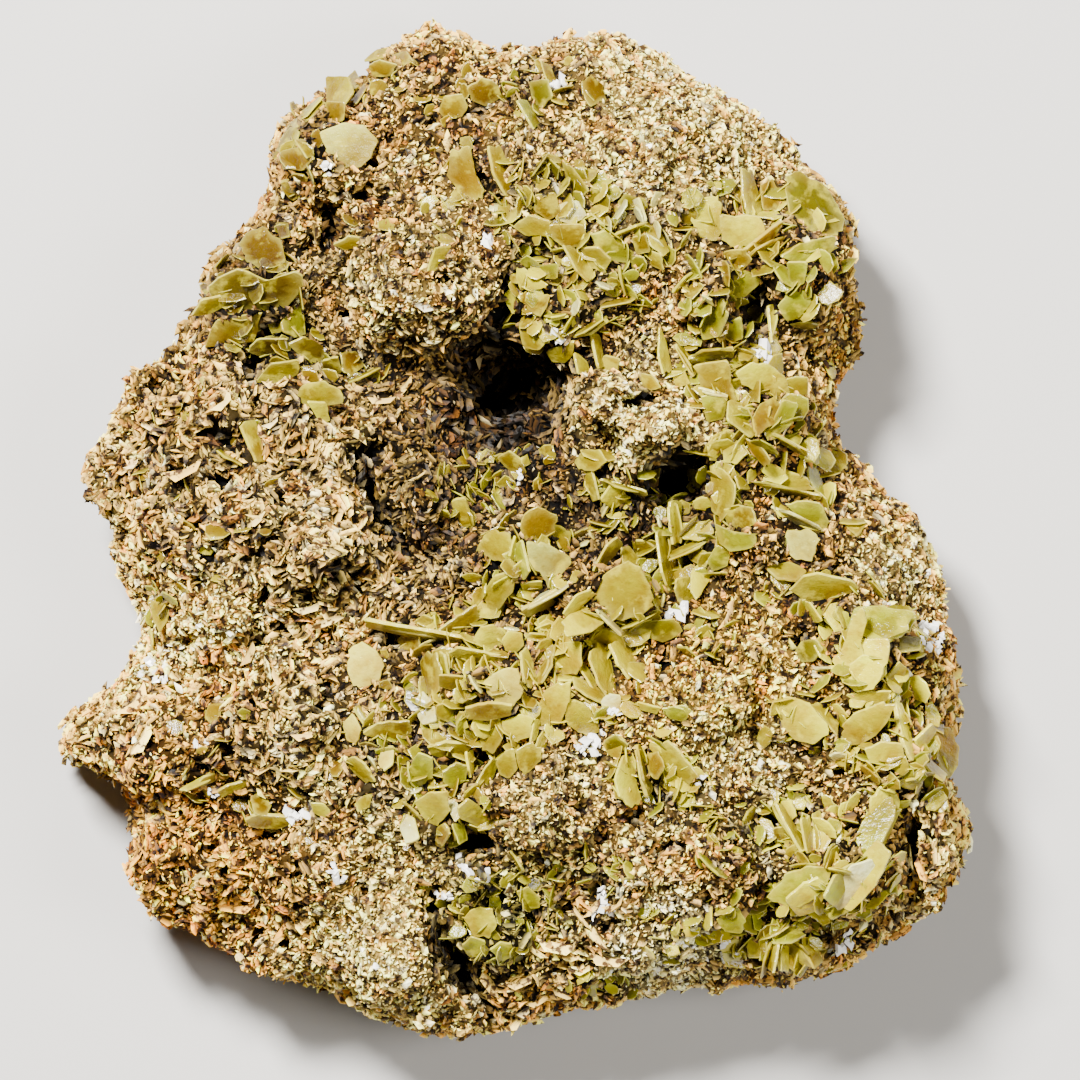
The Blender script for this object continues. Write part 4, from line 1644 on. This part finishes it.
def grow_plates():
    """One piece for each wulfenite cluster, in place of the cluster's solid."""
    rng = np.random.default_rng(PLATE_SEED)
    for name, plates in WORK["seats"].items():
        points, faces, tints, start = [], [], [], 0
        for key, middle, face, rim in plates:
            made, sides, near = plate_shape(middle, face, rim, rng)
            points.append(made)
            faces.append(sides + start)
            tints.append(plate_tints(key, made, near, rng))
            start += len(made)
        points, faces, tints = map(np.concatenate, (points, faces, tints))
        piece = mesh_piece(name + "_plates", points, faces, tints, "wulfenite_crystal")
        if "wulfenite_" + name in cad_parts:
            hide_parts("wulfenite_" + name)


def listed_small():
    """Stances of the listed small plates: place, axes, half sizes and colour key."""
    rng = np.random.default_rng(LISTED_SEED)
    for key, rows in SMALL.items():
        for x, y, long, short, turn in rows:
            found = WORK["hill"].under(x, y)
            side = rng.choice((-1.0, 1.0))
            slack, deep = rng.uniform(0.75, 1.0), rng.uniform(0.7, 0.95)
            if not found:
                continue
            half = long * TENTH / 2
            tilt = math.acos(min(0.97, max(0.05, short / long / deep)))
            turn = math.radians(turn)
            axis = np.array((math.cos(turn), math.sin(turn), 0.0))
            flat = math.sin(tilt) * side
            face = np.array((-math.sin(turn) * flat, math.cos(turn) * flat, math.cos(tilt)))
            lift = half * deep * math.sin(tilt) * 0.4 * slack + 0.45 * MM
            yield (np.array(found[0]) + (0, 0, lift), np.stack([axis, np.cross(face, axis), face]),
                   (half, half * deep, 0.09 * MM + half * 0.03), key)


def crowded_small():
    """Stances of the plates of the crowds, as listed_small gives them."""
    rng = np.random.default_rng(CROWD_SEED)
    for x, y, wide, high, turn, count, small, large, keys in CROWDS:
        keys = keys.split()
        heading = rng.uniform(0, math.tau)
        spin = math.radians(turn)
        for _ in range(int(count * 0.85)):
            r, angle = math.sqrt(rng.random()), rng.uniform(0, math.tau)
            u, v = r * wide * math.cos(angle), r * high * math.sin(angle)
            found = WORK["hill"].under(x + u * math.cos(spin) + v * math.sin(spin),
                                       y - u * math.sin(spin) + v * math.cos(spin))
            key = keys[rng.integers(len(keys))]
            half = rng.uniform(small, large) * MM / 2
            bearing = np.array([heading + rng.normal(0.0, 0.9)])
            lean = np.radians([rng.uniform(30, 85)])
            narrow, sink = rng.uniform(0.55, 1.0), rng.uniform(-0.1, 0.6)
            if not found or found[0].z < LOWEST_SEAT:
                continue
            normal = unit(np.array(found[1]) + (0, 0, 0.6))
            yield (np.array(found[0]) + normal * (half * sink + 0.2 * MM),
                   crystal_axes(normal[None], bearing, lean)[0],
                   (half, half * narrow, 0.06 * MM + half * 0.02), key)


def grow_crowds():
    """The small wulfenite plates: the listed ones and the crowds between the large ones."""
    rng = np.random.default_rng(RIM_SEED)
    *form, near = table_form(RIM_SIDES)
    *stances, keys = zip(*listed_small(), *crowded_small())
    places, axes, sizes = map(np.array, stances)
    made, faces = spread_form(form, places, axes, sizes, rng, 0.03)
    made = made.reshape(len(places), len(near), 3)
    corners = rng.uniform(0.70, 1.12, (len(places), RIM_SIDES))
    corners = np.concatenate([np.tile(corners, 3), np.ones((len(places), 2))], axis=1)
    centres = made[:, -2:].mean(axis=1, keepdims=True)
    made = centres + (made - centres) * corners[:, :, None]
    tints = [plate_tints(key, points, near, rng) for key, points in zip(keys, made)]
    add_pieces("wulfenite_small", made.reshape(-1, 3), faces, np.concatenate(tints), len(near),
               places, "wulfenite_crystal")


def set_calcite():
    """White calcite grains on the skin, each a cluster of shards."""
    rng = np.random.default_rng(SHARD_SEED)
    places, axes, sizes = [], [], []
    for x, y, across in CALCITE:
        for _ in range(SHARDS):
            sx, sy = rng.normal(0.0, across * 0.26, 2)
            found = WORK["hill"].under(x + sx, y + sy)
            if not found:
                continue
            half = across * TENTH * rng.uniform(0.14, 0.3)
            normal = unit(np.array(found[1]) + rng.normal(0, 0.5, 3) + (0, 0, 0.8))
            places.append(np.array(found[0]) + normal * (half * 0.5 + 0.6 * MM))
            heading, lean = rng.uniform(0, 6, 1), rng.uniform(0, 0.9, 1)
            axes.append(crystal_axes(normal[None], heading, lean)[0])
            sizes.append(half * np.array([1.0, rng.uniform(0.5, 1.0), rng.uniform(0.3, 0.8)]))
    places, axes, sizes = map(np.array, (places, axes, sizes))
    made, faces = spread_form(block_form(), places, axes, sizes, rng, 0.25)
    mesh_piece("calcite_grains", made, faces, None, "calcite")


# The stage.


def area_light(name, place, size, power):
    """A square, slightly warm light, aimed at the specimen's middle."""
    data = bpy.data.lights.new(name, "AREA")
    data.size = size
    data.energy = power
    data.color = (1.0, 0.98, 0.95)
    lamp = add_object(name, data)
    lamp.location = place
    towards = Vector((0.0, 0.0, 20.0 * MM)) - lamp.location
    lamp.rotation_euler = towards.to_track_quat("-Z", "Y").to_euler()
    return lamp


def set_stage():
    """A pale floor, a key light, a fill light and a camera that looks straight down."""
    settings = bpy.context.scene.stage_settings
    mesh = bpy.data.meshes.new("floor")
    mesh.from_pydata([(-1, -1, 0), (1, -1, 0), (1, 1, 0), (-1, 1, 0)], [], [(0, 1, 2, 3)])
    floor = add_object("floor", mesh)
    floor.location.z = -0.05 * MM
    mesh.materials.append(matte("floor_paper", settings.floor_colour, 0.9))
    key = area_light("key", (-0.16, 0.26, 0.62), 0.12, settings.key_power)
    fill = area_light("fill", (0.34, -0.06, 0.62), 0.25, settings.fill_power)
    world = bpy.data.worlds.new("studio")
    bpy.context.scene.world = world
    world.use_nodes = True
    background = world.node_tree.nodes["Background"]
    background.inputs["Color"].default_value = (1.0, 1.0, 1.0, 1.0)
    background.inputs["Strength"].default_value = settings.world_light
    camera_data = bpy.data.cameras.new("camera")
    camera = add_object("camera", camera_data)
    middle = sheet(SHEET_SIDE / 2, SHEET_SIDE / 2, 24 * MM)
    camera.location = middle - DOWN * settings.camera_height
    camera_data.lens = camera_data.sensor_width * settings.camera_height / (SHEET_SIDE * TENTH)
    camera_data.clip_start = 0.05
    camera_data.clip_end = 10.0
    bpy.context.scene.camera = camera
    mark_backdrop(floor, key, fill, camera)


# The add-on.


class MINERAL_OT_seat_plates(bpy.types.Operator):
    """Works out where the wulfenite plates stand on the rock"""
    bl_idname = "mineral.seat_plates"
    bl_label = "Seat the plates"

    def execute(self, context):
        seat_plates()
        return {"FINISHED"}


class MINERAL_OT_dress_rock(bpy.types.Operator):
    """Gives the rock its rough skin"""
    bl_idname = "mineral.dress_rock"
    bl_label = "Dress the rock"

    def execute(self, context):
        dress_rock()
        return {"FINISHED"}


class MINERAL_OT_grow_blades(bpy.types.Operator):
    """Grows the stacks of curved dolomite blades"""
    bl_idname = "mineral.grow_blades"
    bl_label = "Grow dolomite blades"

    def execute(self, context):
        grow_blades()
        return {"FINISHED"}


class MINERAL_OT_grow_lenses(bpy.types.Operator):
    """Grows the largest dolomite lenses"""
    bl_idname = "mineral.grow_lenses"
    bl_label = "Grow dolomite lenses"

    def execute(self, context):
        grow_lenses()
        return {"FINISHED"}


class MINERAL_OT_grow_grains(bpy.types.Operator):
    """Grows the small dolomite grains"""
    bl_idname = "mineral.grow_grains"
    bl_label = "Grow dolomite grains"

    def execute(self, context):
        grow_grains()
        return {"FINISHED"}


class MINERAL_OT_grow_plates(bpy.types.Operator):
    """Grows the large wulfenite plates, cluster by cluster"""
    bl_idname = "mineral.grow_plates"
    bl_label = "Grow wulfenite plates"

    def execute(self, context):
        grow_plates()
        return {"FINISHED"}


class MINERAL_OT_grow_crowds(bpy.types.Operator):
    """Grows the small wulfenite plates between the large ones"""
    bl_idname = "mineral.grow_crowds"
    bl_label = "Grow small wulfenite"

    def execute(self, context):
        grow_crowds()
        return {"FINISHED"}


class MINERAL_OT_set_calcite(bpy.types.Operator):
    """Sets the white calcite grains"""
    bl_idname = "mineral.set_calcite"
    bl_label = "Set calcite grains"

    def execute(self, context):
        set_calcite()
        return {"FINISHED"}


class MINERAL_OT_set_stage(bpy.types.Operator):
    """Sets the floor, the lights and the camera"""
    bl_idname = "mineral.set_stage"
    bl_label = "Set the stage"

    def execute(self, context):
        set_stage()
        return {"FINISHED"}


OPERATORS = (
    MINERAL_OT_dress_rock, MINERAL_OT_seat_plates, MINERAL_OT_grow_blades, MINERAL_OT_grow_lenses,
    MINERAL_OT_grow_grains, MINERAL_OT_grow_plates, MINERAL_OT_grow_crowds, MINERAL_OT_set_calcite,
    MINERAL_OT_set_stage,
)
SETTINGS = {
    "rock_settings": RockSettings,
    "dolomite_colours": DolomiteColours,
    "wulfenite_colours": WulfeniteColours,
    "stage_settings": StageSettings,
}


class MINERAL_PT_panel(bpy.types.Panel):
    """Lists the settings and the steps"""
    bl_label = "Wulfenite on dolomite"
    bl_idname = "MINERAL_PT_panel"
    bl_space_type = "VIEW_3D"
    bl_region_type = "UI"
    bl_category = "Mineral"

    def draw(self, context):
        for name, group in SETTINGS.items():
            box = self.layout.box()
            for key in group.__annotations__:
                box.prop(getattr(context.scene, name), key)
        for operator in OPERATORS:
            self.layout.operator(operator.bl_idname)


def register():
    """Registers the classes and hangs the settings on the scene."""
    for group in SETTINGS.values():
        bpy.utils.register_class(group)
    for operator in OPERATORS:
        bpy.utils.register_class(operator)
    bpy.utils.register_class(MINERAL_PT_panel)
    for name, group in SETTINGS.items():
        setattr(bpy.types.Scene, name, PointerProperty(type=group))


def unregister():
    """Takes away what register added."""
    for name in SETTINGS:
        delattr(bpy.types.Scene, name)
    for made in (MINERAL_PT_panel, *OPERATORS, *SETTINGS.values()):
        bpy.utils.unregister_class(made)


def main():
    """Runs every step in order."""
    register()
    for operator in OPERATORS:
        group, name = operator.bl_idname.split(".")
        getattr(getattr(bpy.ops, group), name)()
    boxes = {"cad": CAD_BOX, "visual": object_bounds()}
    {key: [list(corner) for corner in box] for key, box in boxes.items()}


if __name__ == "__main__":
    main()
